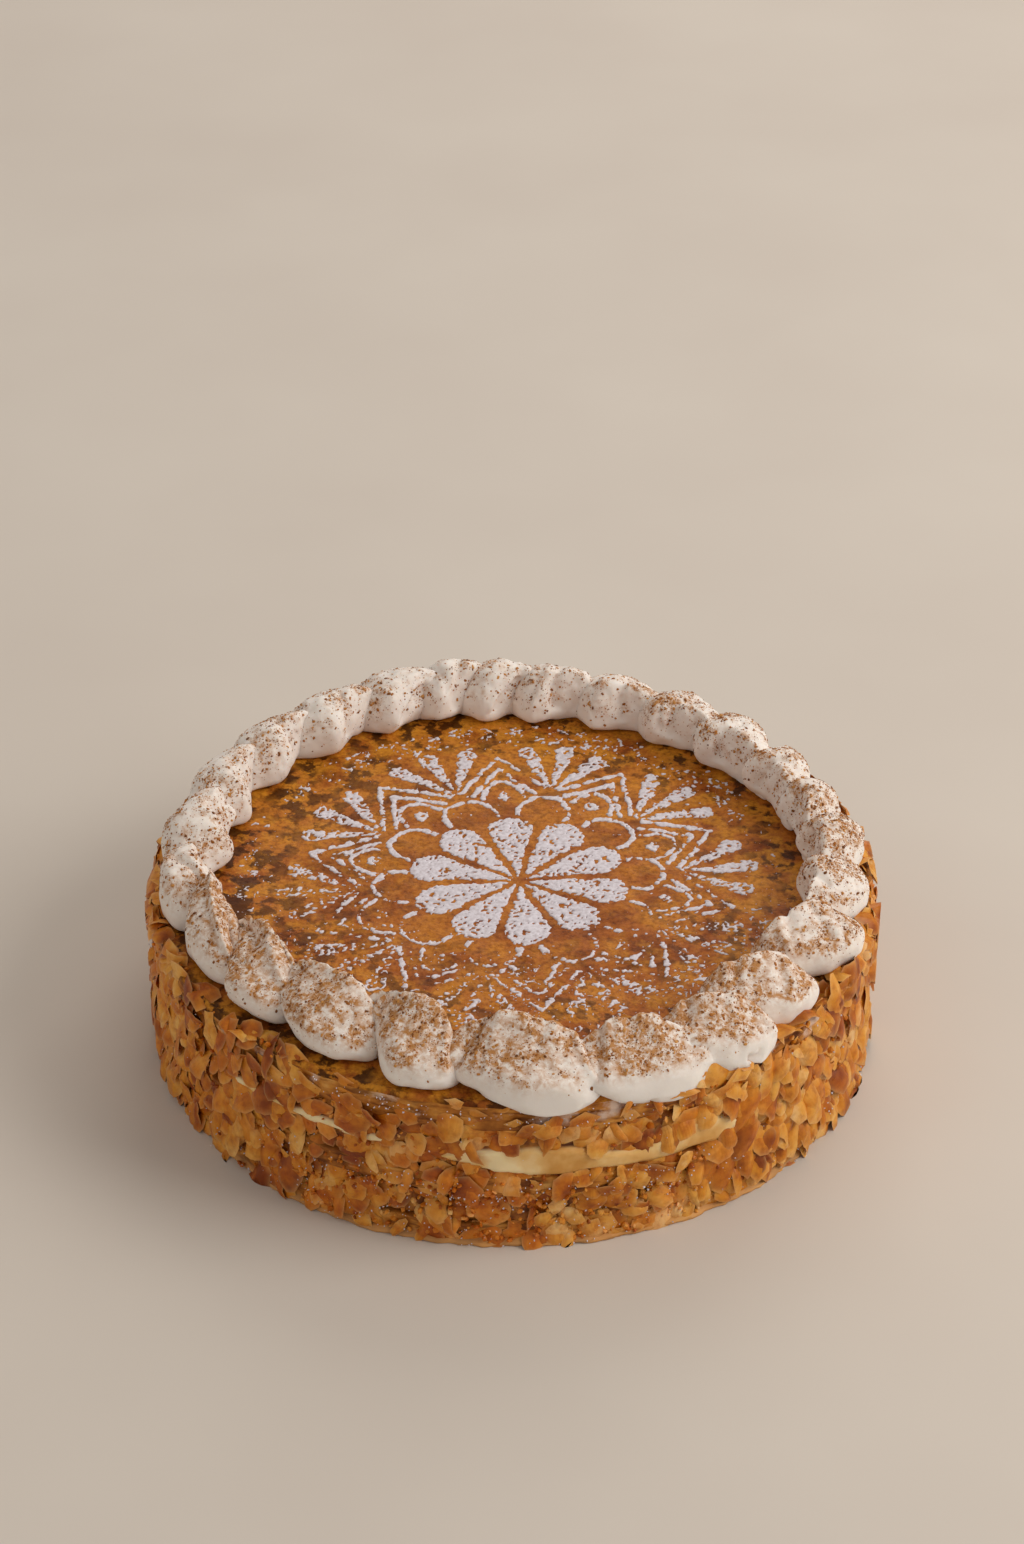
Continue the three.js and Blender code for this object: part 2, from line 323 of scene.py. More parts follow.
# Cut and baked edge of the pastry: many thin leaves, so it is banded and matt, pale at the foot and
# smeared with sugar at the top.
def leafyEdge():
    finish, add, coords = newFinish("leafyPastryEdge")
    squash = add("Mapping", {"Vector": coords, "Scale": (0.22, 0.22, 1.0)})
    leaves = add("TexNoise", {"Vector": squash, "Scale": 520.0, "Detail": 3.0})
    bands = add("ValToRGB", {"Fac": leaves}, [(0.36, "#8f745c"), (0.5, "#e6dccf"), (0.66, "#ffffff")])
    height = socketOf(add("SeparateXYZ", {"Vector": coords}).outputs, "Z")
    foot = add("MapRange", {"Value": height, "From Min": 4.0 * mm, "From Max": 1.6 * mm, "To Max": 0.6})
    cloud = add("TexNoise", {"Vector": coords, "Scale": 75.0, "Detail": 6.0, "Roughness": 0.62})
    smear = add("MapRange", {"Value": cloud, "From Min": 0.55, "From Max": 0.66, "To Max": 0.7})
    highPart = add("MapRange", {"Value": height, "From Min": 50 * mm, "From Max": 52 * mm})
    smearPart = add("Math", {"Value": smear, "Value_001": highPart}, operation="MULTIPLY")
    colour = clouded(add, coords, 110.0, 5.0, [
        (0.33, "#8b4f15"), (0.46, "#b77229"), (0.56, "#d28e39"), (0.68, "#e2ab5d")])
    coats = ((0.85, bands, "MULTIPLY"), (foot, "#d9a468", "MIX"), (smearPart, "#e6d3c6", "MIX"))
    for share, coat, blend in coats:
        colour = add("Mix", {"Factor": share, "A": colour, "B": coat}, data_type="RGBA", blend_type=blend)
    bump = add("Bump", {"Strength": 0.8, "Distance": 0.8 * mm, "Height": leaves})
    return closeFinish(finish, add, {"Base Color": colour, "Roughness": 0.6, "Normal": bump, "IOR": 1.45,
                                     "Specular IOR Level": 0.3})


# Flakes: thin brittle leaves of baked pastry, amber and finely ribbed, light through the thin parts; a
# painted highlight lightens each rim and a painted warm tint stands in for warm bounce light in the shade of
# the left side.
def bakedFlake():
    finish, add, coords = newFinish("bakedPastryFlake")
    tone, rim, across = (socketOf(add("Attribute", attribute_name=name).outputs, "Fac")
                         for name in ("tone", "rim", "across"))
    grain = add("TexNoise", {"Vector": coords, "Scale": 300.0, "Detail": 4.0, "Roughness": 0.6})
    broad = add("TexNoise", {"Vector": coords, "Scale": 55.0, "Detail": 2.0})
    within = add("TexNoise", {"Vector": coords, "Scale": 170.0, "Detail": 3.0})
    shade = -0.95  # brings the sum of the three to the middle of the ramp
    for pattern, share in ((tone, 0.7), (broad, 1.2), (within, 1.0)):
        shade = add("Math", {"Value": pattern, "Value_001": share, "Value_002": shade},
                    operation="MULTIPLY_ADD")
    grainTint = add("ValToRGB", {"Fac": grain}, [(0.3, "#c59a72"), (0.5, "#f3e8da"), (0.7, "#ffffff")])
    drift = add("TexNoise", {"Vector": coords, "Scale": 36.0, "Detail": 3.0, "W": 3.0}, noise_dimensions="4D")
    driftTint = add("ValToRGB", {"Fac": drift}, [(0.38, "#ffe7a6"), (0.5, "#ffffff"), (0.62, "#ffe2d0")])
    # Painted warm shade: a yellow tint that fades out towards the right, standing in for warm bounce light on
    # the shaded left side.
    sideways = socketOf(add("SeparateXYZ", {"Vector": coords}).outputs, "X")
    rightPart = add("MapRange", {"Value": sideways, "From Min": -100 * mm, "From Max": 80 * mm})
    paintedShadeTint = add("ValToRGB", {"Fac": rightPart}, [(0.0, "#fff3c4"), (1.0, "#ffffff")])
    # Painted highlight: each flake's rim is lightened, standing in for light shining through its thin edge.
    thinEdge = add("Math", {"Value": rim, "Value_001": 4.0}, operation="POWER")
    paintedRimHighlight = add("Math", {"Value": thinEdge, "Value_001": 0.34}, operation="MULTIPLY")
    colour = add("ValToRGB", {"Fac": shade}, [
        (0.0, "#8e4606"), (0.22, "#b86a10"), (0.48, "#d98f26"), (0.75, "#e8ad52"), (1.0, "#f3cb90")])
    coats = ((0.7, grainTint, "MULTIPLY"), (0.75, driftTint, "MULTIPLY"), (1.0, paintedShadeTint, "MULTIPLY"),
             (paintedRimHighlight, "#f3c27e", "MIX"))
    for share, coat, blend in coats:
        colour = add("Mix", {"Factor": share, "A": colour, "B": coat}, data_type="RGBA", blend_type=blend)
    ribPlace = add("CombineXYZ", {"X": across, "Y": tone, "Z": 0.0})
    ribStretch = add("VectorMath", {"Vector": ribPlace, "Vector_001": (3.5, 60.0, 1.0)}, operation="MULTIPLY")
    ribs = add("TexNoise", {"Vector": ribStretch, "Scale": 1.6, "Detail": 2.0})
    ribBump = add("Bump", {"Strength": 0.38, "Distance": 0.5 * mm, "Height": ribs})
    bump = add("Bump", {"Strength": 0.3, "Distance": 0.5 * mm, "Height": grain, "Normal": ribBump})
    return closeFinish(finish, add, {
        "Base Color": colour, "Roughness": 0.42, "Normal": bump, "IOR": 1.45, "Specular IOR Level": 0.4,
        "Subsurface Weight": 0.12, "Subsurface Radius": (1.0, 0.6, 0.3), "Subsurface Scale": 1.5 * mm})


# Custard: set egg custard, smooth and moist, so pale yellow with a soft sheen; amber crumbs stick to it
# wherever it isn't bare.
def setCustard():
    finish, add, coords = newFinish("setCustard")
    pale = clouded(add, coords, 52.0, 4.0, [(0.34, "#d3994b"), (0.46, "#ecc07b"), (0.58, "#f9e1b0")])
    crumbed = clouded(add, coords, 260.0, 5.0, [(0.36, "#6b370c"), (0.5, "#9c5817"), (0.66, "#c68331")])
    bare = socketOf(add("Attribute", attribute_name="bare").outputs, "Fac")
    bareEdge = add("MapRange", {"Value": bare, "From Min": 0.25, "From Max": 0.6})
    colour = add("Mix", {"Factor": bareEdge, "A": crumbed, "B": pale}, data_type="RGBA")
    pits = add("TexNoise", {"Vector": coords, "Scale": 400.0, "Detail": 3.0})
    bump = add("Bump", {"Strength": 0.25, "Distance": 0.4 * mm, "Height": pits})
    return closeFinish(finish, add, {
        "Base Color": colour, "Roughness": 0.42, "Normal": bump, "IOR": 1.4,
        "Subsurface Weight": 0.25, "Subsurface Radius": (1.0, 0.7, 0.3), "Subsurface Scale": 3 * mm})


# Cream: whipped and piped, a matt warm white, tinted where the finest cocoa settles on it.
def whippedCream():
    finish, add, coords = newFinish("whippedCream")
    dusting = socketOf(add("Attribute", attribute_name="dusting").outputs, "Fac")
    powder = add("TexNoise", {"Vector": coords, "Scale": 420.0, "Detail": 5.0, "Roughness": 0.7,
                 "Distortion": 0.4})
    settled = add("MapRange", {"Value": powder, "From Min": 0.40, "From Max": 0.62, "To Min": 0.15,
                  "To Max": 1.3})
    cover = add("Math", {"Value": dusting, "Value_001": settled}, operation="MULTIPLY")
    colour = add("Mix", {"Factor": cover, "A": "#f4ede6", "B": "#bd854c"}, data_type="RGBA")
    air = add("TexNoise", {"Vector": coords, "Scale": 260.0, "Detail": 6.0, "Roughness": 0.6})
    bump = add("Bump", {"Strength": 0.22, "Distance": 0.6 * mm, "Height": air})
    return closeFinish(finish, add, {
        "Base Color": colour, "Roughness": 0.55, "Normal": bump, "IOR": 1.4,
        "Subsurface Weight": 0.3, "Subsurface Radius": (1.0, 0.88, 0.72), "Subsurface Scale": 3.5 * mm})


# Icing sugar: a fine dry powder, so white, matt and slightly uneven.
def icingSugar():
    finish, add, coords = newFinish("icingSugar")
    powder = add("TexNoise", {"Vector": coords, "Scale": 700.0, "Detail": 3.0})
    colour = add("ValToRGB", {"Fac": powder}, [(0.3, "#c6bdc3"), (0.6, "#e1dce4")])
    bump = add("Bump", {"Strength": 0.5, "Distance": 0.4 * mm, "Height": powder})
    return closeFinish(finish, add, {"Base Color": colour, "Roughness": 0.9, "Normal": bump, "IOR": 1.5})


# Cocoa: sifted powder that clumps into grains, reddish brown and quite matt.
def siftedCocoa():
    finish, add, coords = newFinish("siftedCocoa")
    tone = socketOf(add("Attribute", attribute_name="tone").outputs, "Fac")
    colour = add("ValToRGB", {"Fac": tone}, [(0.0, "#6e3e14"), (0.4, "#a56424"), (1.0, "#ca9250")])
    grain = add("TexNoise", {"Vector": coords, "Scale": 1800.0, "Detail": 2.0})
    bump = add("Bump", {"Strength": 0.4, "Distance": 0.2 * mm, "Height": grain})
    return closeFinish(finish, add, {"Base Color": colour, "Roughness": 0.85, "Normal": bump, "IOR": 1.45})


makeCamera(camera)
makeStudio()
caramelFinish = caramelCrust()
edgeFinish = leafyEdge()
flakeFinish = bakedFlake()
custardFinish = setCustard()
creamFinish = whippedCream()
sugarFinish = icingSugar()
cocoaFinish = siftedCocoa()
print("stage: camera, light, floor and finishes")


# Height of the blistered top crust at a place, in metres.
def crustHeight(x, y):
    spots = np.stack([x, y, np.zeros_like(x)], axis=-1)
    blisters = 0.45 * layeredLumps(spots, 15 * mm, 3) + 0.22 * lumps(spots, 4.5 * mm, 5)
    sag = -0.5 * smoothStep(np.hypot(x, y), 118 * mm, 127 * mm)
    return cakeTop + (blisters - 0.35 + sag) * mm


# The long gap at the front where the custard lies bare: its lowest and highest edge in millimetres, by
# angle in degrees.
bareFront = dict(
    turns=[259, 262, 267, 273, 279, 282, 285, 289, 293, 298, 303, 309],
    foot=[36.6, 35, 32.2, 30.4, 30.2, 30.2, 30, 29.8, 29.6, 29.6, 29.8, 33],
    roof=[36.8, 39.4, 40.6, 41.4, 41.4, 39.4, 36.6, 36, 38.4, 41.2, 39.8, 33.2],
)


# Where custard shows through the flakes, as shares of 1 at an angle and a height in millimetres.
def custardWindow(degrees, height):
    rim = sideSpots(degrees, np.zeros_like(degrees, dtype=float)).reshape(-1, 3)
    upper, lower = ((1.9 * layeredLumps(rim, 16, seed) + 1.1 * lumps(rim, 6, seed + 5)).reshape(degrees.shape)
                    for seed in (51, 53))
    turns = bareFront["turns"]
    roof = np.interp(degrees, turns, bareFront["roof"]) + 0.5 * upper
    foot = np.interp(degrees, turns, bareFront["foot"]) + 0.4 * lower
    front = smoothStep(roof - height, -0.5, 1.1) * smoothStep(height - foot, -0.3, 0.6)
    front = front * (degrees > turns[0]) * (degrees < turns[-1])
    left = around(degrees, 237, 13, 3) * plateau(height, 37 + 0.7 * lower, 38 + 0.7 * lower,
                                                39.5 + 0.7 * upper, 41 + 0.7 * upper)
    narrow = 4.2 * (1 - around(degrees, 62, 5, 17))
    back = around(degrees, 62, 19, 3) * plateau(height, 30 + lower + narrow, 32 + lower + narrow,
                                               38 + upper - narrow, 41 + upper - narrow)
    return np.clip(front + 0.8 * left + back, 0, 1)


# Each layer: its CAD node, height range and rim radius in millimetres, how ragged and how leafy its rim
# is, its rows of points, which are even or else crowd towards its edges, and its slot.
layers = [
    dict(name="bottom_crust", node="bottom_pastry", low=0.05, high=8, radius=124.9, ragged=0.9, leaf=0.5,
         rows=14, evenRows=False, seed=11, slot="puff_pastry"),
    dict(name="lower_custard_layer", node="lower_custard", low=8.3, high=21.7, radius=123.7, ragged=0.7,
         leaf=0, rows=14, evenRows=False, seed=12, slot="custard"),
    dict(name="middle_crust", node="middle_pastry", low=22, high=29, radius=125.2, ragged=1.0, leaf=0.5,
         rows=14, evenRows=False, seed=13, slot="puff_pastry"),
    dict(name="upper_custard_layer", node="upper_custard", low=29.3, high=47.7, radius=124.2, ragged=0.7,
         leaf=0, rows=22, evenRows=True, seed=14, slot="custard"),
    dict(name="top_crust", node="top_pastry", low=48, high=60, radius=126.0, ragged=0.9, leaf=0.55,
         rows=26, evenRows=True, seed=15, slot="puff_pastry"),
]
flatReach = 120 * mm  # the flat of a layer's top and foot, inside its rim
layerSegments = 420
edgeRound = 1.6  # how far a rim is rounded at its top and foot, in millimetres
caramelFoot = 58.3 * mm  # the top crust is caramelised above this height


# Rim radius of a layer, in metres, at angles and one height.
def rimRadius(layer, angles, height):
    degrees, heights = np.degrees(angles), np.full_like(angles, height)
    spots = sideSpots(degrees, heights) * mm
    radius = layer["radius"] + layer["ragged"] * layeredLumps(spots, 9 * mm, layer["seed"])
    if layer["leaf"]:
        flat = spots * np.array([0.3, 0.3, 2.2])
        radius += layer["leaf"] * lumps(flat, 3.2 * mm, layer["seed"] + 30)
        radius += 0.4 * layer["leaf"] * lumps(spots, 1.6 * mm, layer["seed"] + 60)
    if layer["name"] == "bottom_crust":
        chips = 0.7 * lumps(spots, 2.6 * mm, 91) + 0.9 * lumps(spots, 7 * mm, 92)
        radius += (0.5 + 1.7 * around(degrees, 270, 34, 25) + chips) * (1 - smoothStep(heights, 1.1, 2.6))
    if layer["name"] == "middle_crust":
        radius += 1.3 * around(degrees, 268, 26, 12)
    if layer["name"] == "upper_custard_layer":
        radius += 2.6 * custardWindow(degrees, heights)
    return radius * mm


def makeLayer(layer):
    angles = np.linspace(0, 2 * math.pi, layerSegments, endpoint=False)
    low, high, rows = layer["low"], layer["high"], layer["rows"]
    isTop = layer["name"] == "top_crust"

    def loopAt(radius, height):
        x, y = radius * np.cos(angles), radius * np.sin(angles)
        return np.stack([x, y, np.full_like(x, height)], axis=-1)

    flatRadii = [share * flatReach for share in (0.25, 0.5, 0.75, 1)]
    loops = [loopAt(radius, low * mm) for radius in flatRadii]
    for row in range(rows + 1):
        share = row / rows
        risen = share if layer["evenRows"] else 0.5 - 0.5 * math.cos(math.pi * share)
        height = low + (high - low) * risen
        inset = edgeRound * (1 - (1 - abs(2 * share - 1) ** 6) ** 0.5)
        loops.append(loopAt(rimRadius(layer, angles, height) - inset * mm, height * mm))
    middle = [0, 0, high * mm]
    if isTop:
        rim = rimRadius(layer, angles, high) - edgeRound * mm
        for step in np.concatenate([[0.5, 1.1], np.arange(2, 124, 1.25)]):
            base = rim if step <= 8 else np.full_like(rim, rim.mean())  # raggedness stays near the rim
            loop = loopAt(np.maximum(base - step * mm, 0.4 * mm), high * mm)
            loop[:, 2] = crustHeight(loop[:, 0], loop[:, 1])
            loops.append(loop)
        middle[2] = crustHeight(np.zeros(1), np.zeros(1))[0]
    else:
        loops += [loopAt(radius, high * mm) for radius in reversed(flatRadii)]
    points, faces = closedSkin([0, 0, low * mm], loops, middle)
    finish = custardFinish if layer["slot"] == "custard" else edgeFinish
    piece = meshPiece(layer["name"], points, faces, finish)
    if isTop:
        piece.data.materials.append(caramelFinish)
        isCaramel = vectorsOf(piece.data.polygons, "center")[:, 2] > caramelFoot
        piece.data.polygons.foreach_set("material_index", isCaramel.astype(np.int32))
    if layer["slot"] == "custard":
        setAttribute(piece.data, "bare", custardWindow(degreesOf(points), points[:, 2] / mm))
    keepPiece(piece, layer["slot"], layer["node"])


for layer in layers:
    makeLayer(layer)
print("stage: pastry discs and custard layers")


# The stencil, in millimetres: petals round the centre, arcs between them, chevrons over the petals and
# sprays of leaves between them.
stencil = dict(
    centre=(2.1, -1.0), spokes=10, firstPetal=96, spacing=0.49, reach=101,
    petalTip=30.5, petalTipRadius=8.0, petalGap=0.85, arcCentre=42, arcRadius=9.3, arcLine=1.1,
    hub=56, leafLength=25.5, leafWidth=3.6, leafSpread=32, lineWidth=1.1,
    thickness=0.32, lift=0.03, sunk=0.12,
    chevrons=[[(75.5, 0), (55, 15.2)], [(68, 0), (52.6, 11.4)],
              [(60.6, 0), (60.2, 1.8), (58.4, 4.2), (55.5, 6.2), (51, 7.6)]],
)


# Place along and across the nearest spoke, in millimetres.
def foldedSpoke(x, y, firstDegrees):
    step = 2 * math.pi / stencil["spokes"]
    radius = np.hypot(x, y)
    off = (np.arctan2(y, x) - math.radians(firstDegrees) + step / 2) % step - step / 2
    return radius * np.cos(off), radius * np.abs(np.sin(off))


# How far a place is from a line, and its share along it.
def distanceToLine(along, across, start, end):
    run = np.array(end, float) - np.array(start, float)
    share = np.clip(((along - start[0]) * run[0] + (across - start[1]) * run[1]) / (run @ run), 0, 1)
    return np.hypot(along - start[0] - share * run[0], across - start[1] - share * run[1]), share


# How far a place is inside the stencil's bold openings and its fine lines, in millimetres.
def stencilInside(x, y):
    y = y / (1 + 0.03 * smoothStep(y, 15, 80))
    halfStep = 180 / stencil["spokes"]
    along, across = foldedSpoke(x, y, stencil["firstPetal"])
    gapAlong, gapAcross = foldedSpoke(x, y, stencil["firstPetal"] + halfStep)
    side = along * math.tan(math.radians(halfStep)) - stencil["petalGap"] - 0.03 * along - across
    tip = stencil["petalTipRadius"] - np.hypot(along - stencil["petalTip"], across)
    petal = np.minimum(np.where(along < stencil["petalTip"], side, tip), along - 3)
    bold = np.maximum(petal, 2.6 - np.hypot(along - 52, across))
    ring = np.abs(np.hypot(gapAlong - stencil["arcCentre"], gapAcross) - stencil["arcRadius"])
    fine = np.minimum(stencil["arcLine"] - ring, gapAlong - 38.5)
    for chevron in stencil["chevrons"]:
        for start, end in zip(chevron, chevron[1:]):
            away, _ = distanceToLine(along, across, start, end)
            fine = np.maximum(fine, stencil["lineWidth"] - away)
    for spread in (0, stencil["leafSpread"]):
        course = np.array([math.cos(math.radians(spread)), math.sin(math.radians(spread))])
        start, end = ((stencil["hub"], 0) + course * length for length in (1.5, stencil["leafLength"]))
        away, share = distanceToLine(gapAlong, gapAcross, start, end)
        bold = np.maximum(bold, 0.25 + (stencil["leafWidth"] - 0.25) * share ** 0.9 - away)
    return bold, fine


# Where sugar lies on the crust, above zero on it: the ornament with its holes and broken lines, and
# the stray specks round it.
def sugarField(spots):
    swayX, swayY = (0.6 * lumps(spots, 12, seed) + 0.4 * lumps(spots, 3.5, seed + 7) for seed in (41, 42))
    x, y = spots[:, 0] - stencil["centre"][0] + swayX, spots[:, 1] - stencil["centre"][1] + swayY
    bold, fine = stencilInside(x, y)
    radius, degrees = np.hypot(spots[:, 0], spots[:, 1]), degreesOf(spots)
    grain = 0.8 * lumps(spots, 1.15, 43) + 0.95 * lumps(spots, 0.8, 46)
    clump, drift = layeredLumps(spots, 2.6, 44), layeredLumps(spots, 20, 45)
    sparse = smoothStep(-spots[:, 1], -20, 45) * smoothStep(radius, 38, 50)
    sparse = np.clip(sparse + 0.5 * around(degrees, 195, 20, 25) * smoothStep(radius, 50, 60), 0, 1)
    petals = 0.10 * (1 - smoothStep(radius, 36, 44))
    bold = np.minimum(bold, 0.4) + 0.70 * grain + 0.3 * clump + 0.12 * drift - 0.16 + petals - 0.34 * sparse
    beads = lumps(spots, 2.7, 50)
    fine = np.minimum(fine, 0.6) + (0.5 + 0.15 * sparse) * grain + 0.25 * clump + 0.12 * drift
    fine += (0.7 + 0.35 * sparse) * beads - 0.20 - 0.36 * sparse
    outer = plateau(radius, 80, 88, 96, 100)
    heavy = aroundAll(degrees, (1, 90, 42, 25), (0.8, 165, 18, 18), (0.35, 20, 25, 20))
    blots = 0.75 * clump + 0.75 * grain - 1.0 + 0.54 * outer * np.clip(heavy, 0, 1) + 0.25 * drift
    strays = lumps(spots, 0.85, 47) + 0.25 * drift + 0.35 * clump - 0.95 + 0.34 * sparse + 0.16 * outer
    ornament = np.where(radius < 100, np.maximum(bold, fine), -1)
    strays = np.where((radius > 38) & (radius < 100), np.maximum(blots, strays), -1)
    return ornament, np.minimum(strays, -0.02 - ornament)


# Splits a square grid in triangles and keeps the part where the field is above zero, with new points
# where its edge crosses a side from `low` to `high`.
def keptTriangles(field):
    count = field.shape[0]
    index = np.arange(count * count).reshape(count, count)
    corners = (index[:-1, :-1], index[1:, :-1], index[1:, 1:], index[:-1, 1:])
    a, b, c, d = (corner.ravel() for corner in corners)
    triangles = np.concatenate([np.stack([a, b, c], axis=1), np.stack([a, c, d], axis=1)])
    flat = field.ravel()
    above = flat[triangles] > 0
    inCount = above.sum(axis=1)
    cuts, keys = {}, []
    for wanted in (1, 2):
        chosen, flags = triangles[inCount == wanted], above[inCount == wanted]
        odd = np.argmax(flags if wanted == 1 else ~flags, axis=1)
        rows = np.arange(len(chosen))
        first, second, third = cuts[wanted] = [chosen[rows, (odd + turn) % 3] for turn in range(3)]
        keys += [np.sort(np.stack([first, second], 1), 1), np.sort(np.stack([first, third], 1), 1)]
    allKeys = np.concatenate(keys)
    edges, inverse = np.unique(allKeys[:, 0] * count * count + allKeys[:, 1], return_inverse=True)
    low, high = edges // (count * count), edges % (count * count)
    share = flat[low] / (flat[low] - flat[high])
    ends = np.cumsum([0] + [len(k) for k in keys])
    crossing = [inverse[ends[at]:ends[at + 1]] + count * count for at in range(4)]
    parts = [triangles[inCount == 3], np.stack([cuts[1][0], crossing[0], crossing[1]], 1),
             np.stack([cuts[2][1], cuts[2][2], crossing[3]], 1),
             np.stack([cuts[2][1], crossing[3], crossing[2]], 1)]
    return np.concatenate(parts), low, high, share


# A closed sheet of sugar on the crust where the field is above zero, thinning to nothing at its edge.
def sugarPiece(name, spots, field):
    size = len(field)
    side = math.isqrt(size)
    triangles, low, high, share = keptTriangles(field.reshape(side, side))
    flat = spots[:, :2]
    placed = np.concatenate([flat, flat[low] + (flat[high] - flat[low]) * share[:, None]])
    used, renumbered = np.unique(triangles, return_inverse=True)
    triangles = renumbered.reshape(triangles.shape)
    placed = placed[used] * mm
    heights = crustHeight(placed[:, 0], placed[:, 1])
    body = np.where(used >= size, 0, np.clip(field[np.minimum(used, size - 1)], 0, 0.5) * 0.5 + 0.1)
    top = np.column_stack([placed, heights + (stencil["lift"] + stencil["thickness"] * body / 0.35) * mm])
    inner = np.where(used < size)[0]
    under = np.arange(len(used))
    under[inner] = len(used) + np.arange(len(inner))
    bottom = np.column_stack([placed[inner], heights[inner] - stencil["sunk"] * mm])
    faces = np.concatenate([triangles, under[triangles][:, ::-1]])
    keepPiece(meshPiece(name, np.concatenate([top, bottom]), faces, sugarFinish), "icing_sugar")
    print("  %s: %d triangles" % (name, len(faces)))


def makeStencil():
    reach, spacing = stencil["reach"], stencil["spacing"]
    steps = np.arange(-reach, reach + spacing / 2, spacing)
    x, y = np.meshgrid(steps, steps, indexing="ij")
    spots = np.stack([x.ravel(), y.ravel(), np.zeros(x.size)], axis=-1)
    for name, field in zip(("sugar_stencil", "sugar_strays"), sugarField(spots)):
        sugarPiece(name, spots, field)


makeStencil()
print("stage: sugar stencil")


# The ring of cream, one row a swirl, piped by hand and so uneven: the angles (degrees) and radii (mm) of
# its tail and head, its reach outward and inward at tail and head, how far its crest leans, the height of
# its crest and of its lowest point, how far its outer face is scooped, how pleated its tail is, how far
# its head bulges inward and how late along it swells.
swirls = [
    (-9, 13.5, 106.5, 114.5, 6.5, 11, 4.5, 10, 0, 79.5, 60, 0.25, 0.3, 4.2, 0.25),
    (5, 24.5, 104, 112, 6.5, 11, 4.5, 8, 0, 79.5, 60, 0.25, 0.2, 4.2, 0.25),
    (16, 36.5, 103, 111.5, 6.5, 11, 4.5, 9, 0, 79.5, 60, 0.25, 0.2, 4.2, 0.25),
    (28, 52.5, 103.5, 110, 6.5, 12, 4.5, 10, 0, 80, 60, 0.25, 0.3, 4.2, 0.25),
    (42, 65.5, 104.5, 110, 6.5, 11, 4.5, 9, 0, 79.5, 60, 0.25, 0.4, 4.2, 0.25),
    (56, 78.5, 106, 110.5, 6.5, 11, 4.5, 10, 0, 79.5, 60, 0.25, 0.4, 4.2, 0.25),
    (70, 91.5, 107.5, 110.5, 6.5, 10, 4.5, 11, 0, 80.3, 60, 0.25, 0.5, 4.2, 0.25),
    (82, 101.5, 109.5, 111, 6.5, 10, 4.5, 10, 0, 80.3, 60, 0.25, 0.5, 4.2, 0.25),
    (91, 110.5, 111, 112.5, 6.5, 9, 4.5, 9, 0, 80.3, 60, 0.25, 0.3, 4.2, 0.25),
    (100, 122.5, 111, 112.5, 6.5, 10, 4.5, 10, 0, 80, 60, 0.25, 0.3, 4.2, 0.25),
    (114, 137.5, 110.5, 112, 6.5, 10, 4.5, 11, 0, 80, 60, 0.25, 0.2, 4.2, 0.25),
    (128, 152.5, 111.5, 113, 6.5, 10, 4.5, 10, 0, 80, 60, 0.25, 0.4, 4.2, 0.25),
    (143, 167.5, 111.5, 113.5, 6.5, 10, 4.5, 11, 0, 79.5, 60, 0.25, 0.3, 4.2, 0.25),
    (158, 183, 108.5, 113.5, 6.5, 11.5, 4.5, 13, 0, 79.5, 60, 0.25, 0.4, 2, 0.25),
    (177, 197, 112.5, 114, 8, 10.5, 5.5, 9, 0, 79, 60, 0.25, 0.3, 0.5, 0.25),
    (187, 215, 104, 111.5, 6, 11, 5, 8, 0, 80, 60, 0.45, 0.5, 0, 0.45),
    (202, 229, 103, 109.5, 3, 13, 6, 9, -4, 80, 60, 0.75, 0.7, 0, 0.75),
    (219, 247, 103.5, 110.5, 7, 12, 6, 10, -5, 79.5, 60, 0.85, 1, 0, 0.85),
    (238, 262, 100, 113.5, 2, 13, 6, 10, -6, 80, 59, 0.85, 1, 0, 0.85),
    (256.5, 285, 107.5, 117.5, 9.5, 14.5, 8, 8, -5, 80, 55, 0.95, 0.8, 0, 0.35),
    (278, 303, 112.5, 120, 14, 10.5, 6, 6, -4, 78.5, 52.5, 0.95, 0.5, 0, 0.2),
    (295, 315, 108, 120.5, 12.5, 11.5, 9, 7, -3, 77.5, 54.5, 0.9, 0.5, 0, 0.3),
    (307, 327.5, 100, 117, 9, 11, 9, 11, -2, 79, 56, 0.75, 0.4, 0.5, 0.6),
    (324, 344, 99, 117.5, 9, 12, 9, 11, -2, 79.5, 59, 0.6, 0.4, 1, 0.5),
    (337, 359, 104.5, 114.5, 6.5, 11, 4.5, 13, 0, 79.5, 60, 0.45, 0.4, 3.2, 0.45),
]
swirlNames = ("tailAngle", "headAngle", "tailRadius", "headRadius", "tailOut", "headOut", "tailIn", "headIn",
              "lean", "crest", "belly", "scoop", "pleats", "bulge", "late")

# All the swirls: rings and sides of points, how blunt the ends are, where the cut is widest, how far cream
# may hang over the rim, the length of a radian on the skin, the heights of its relief, how far off the
# skin of a neighbour is looked for and how far under it the hidden points are tucked.
piping = dict(rings=92, sides=100, roundness=2.4, widest=0.36, overhang=30, turnLength=11,
              lump=0.8, ripple=0.36, ruffle=0.9, pleat=0.96, neighbour=16, tuck=0.25)

# The cut across a scooped swirl: turns in degrees from its outer side over its crest to its inner side, and
# the shares of its reach and rise there.
scoopedCut = dict(
    turns=[0, 14, 27, 40, 56, 76, 94, 107, 120, 136, 158, 180],
    across=[1.0, 1.0, 0.94, 0.80, 0.50, 0.08, -0.26, -0.54, -0.74, -0.87, -0.97, -1.0],
    rise=[0.0, 0.19, 0.35, 0.44, 0.54, 0.72, 0.91, 1.04, 0.92, 0.66, 0.30, 0.0],
)

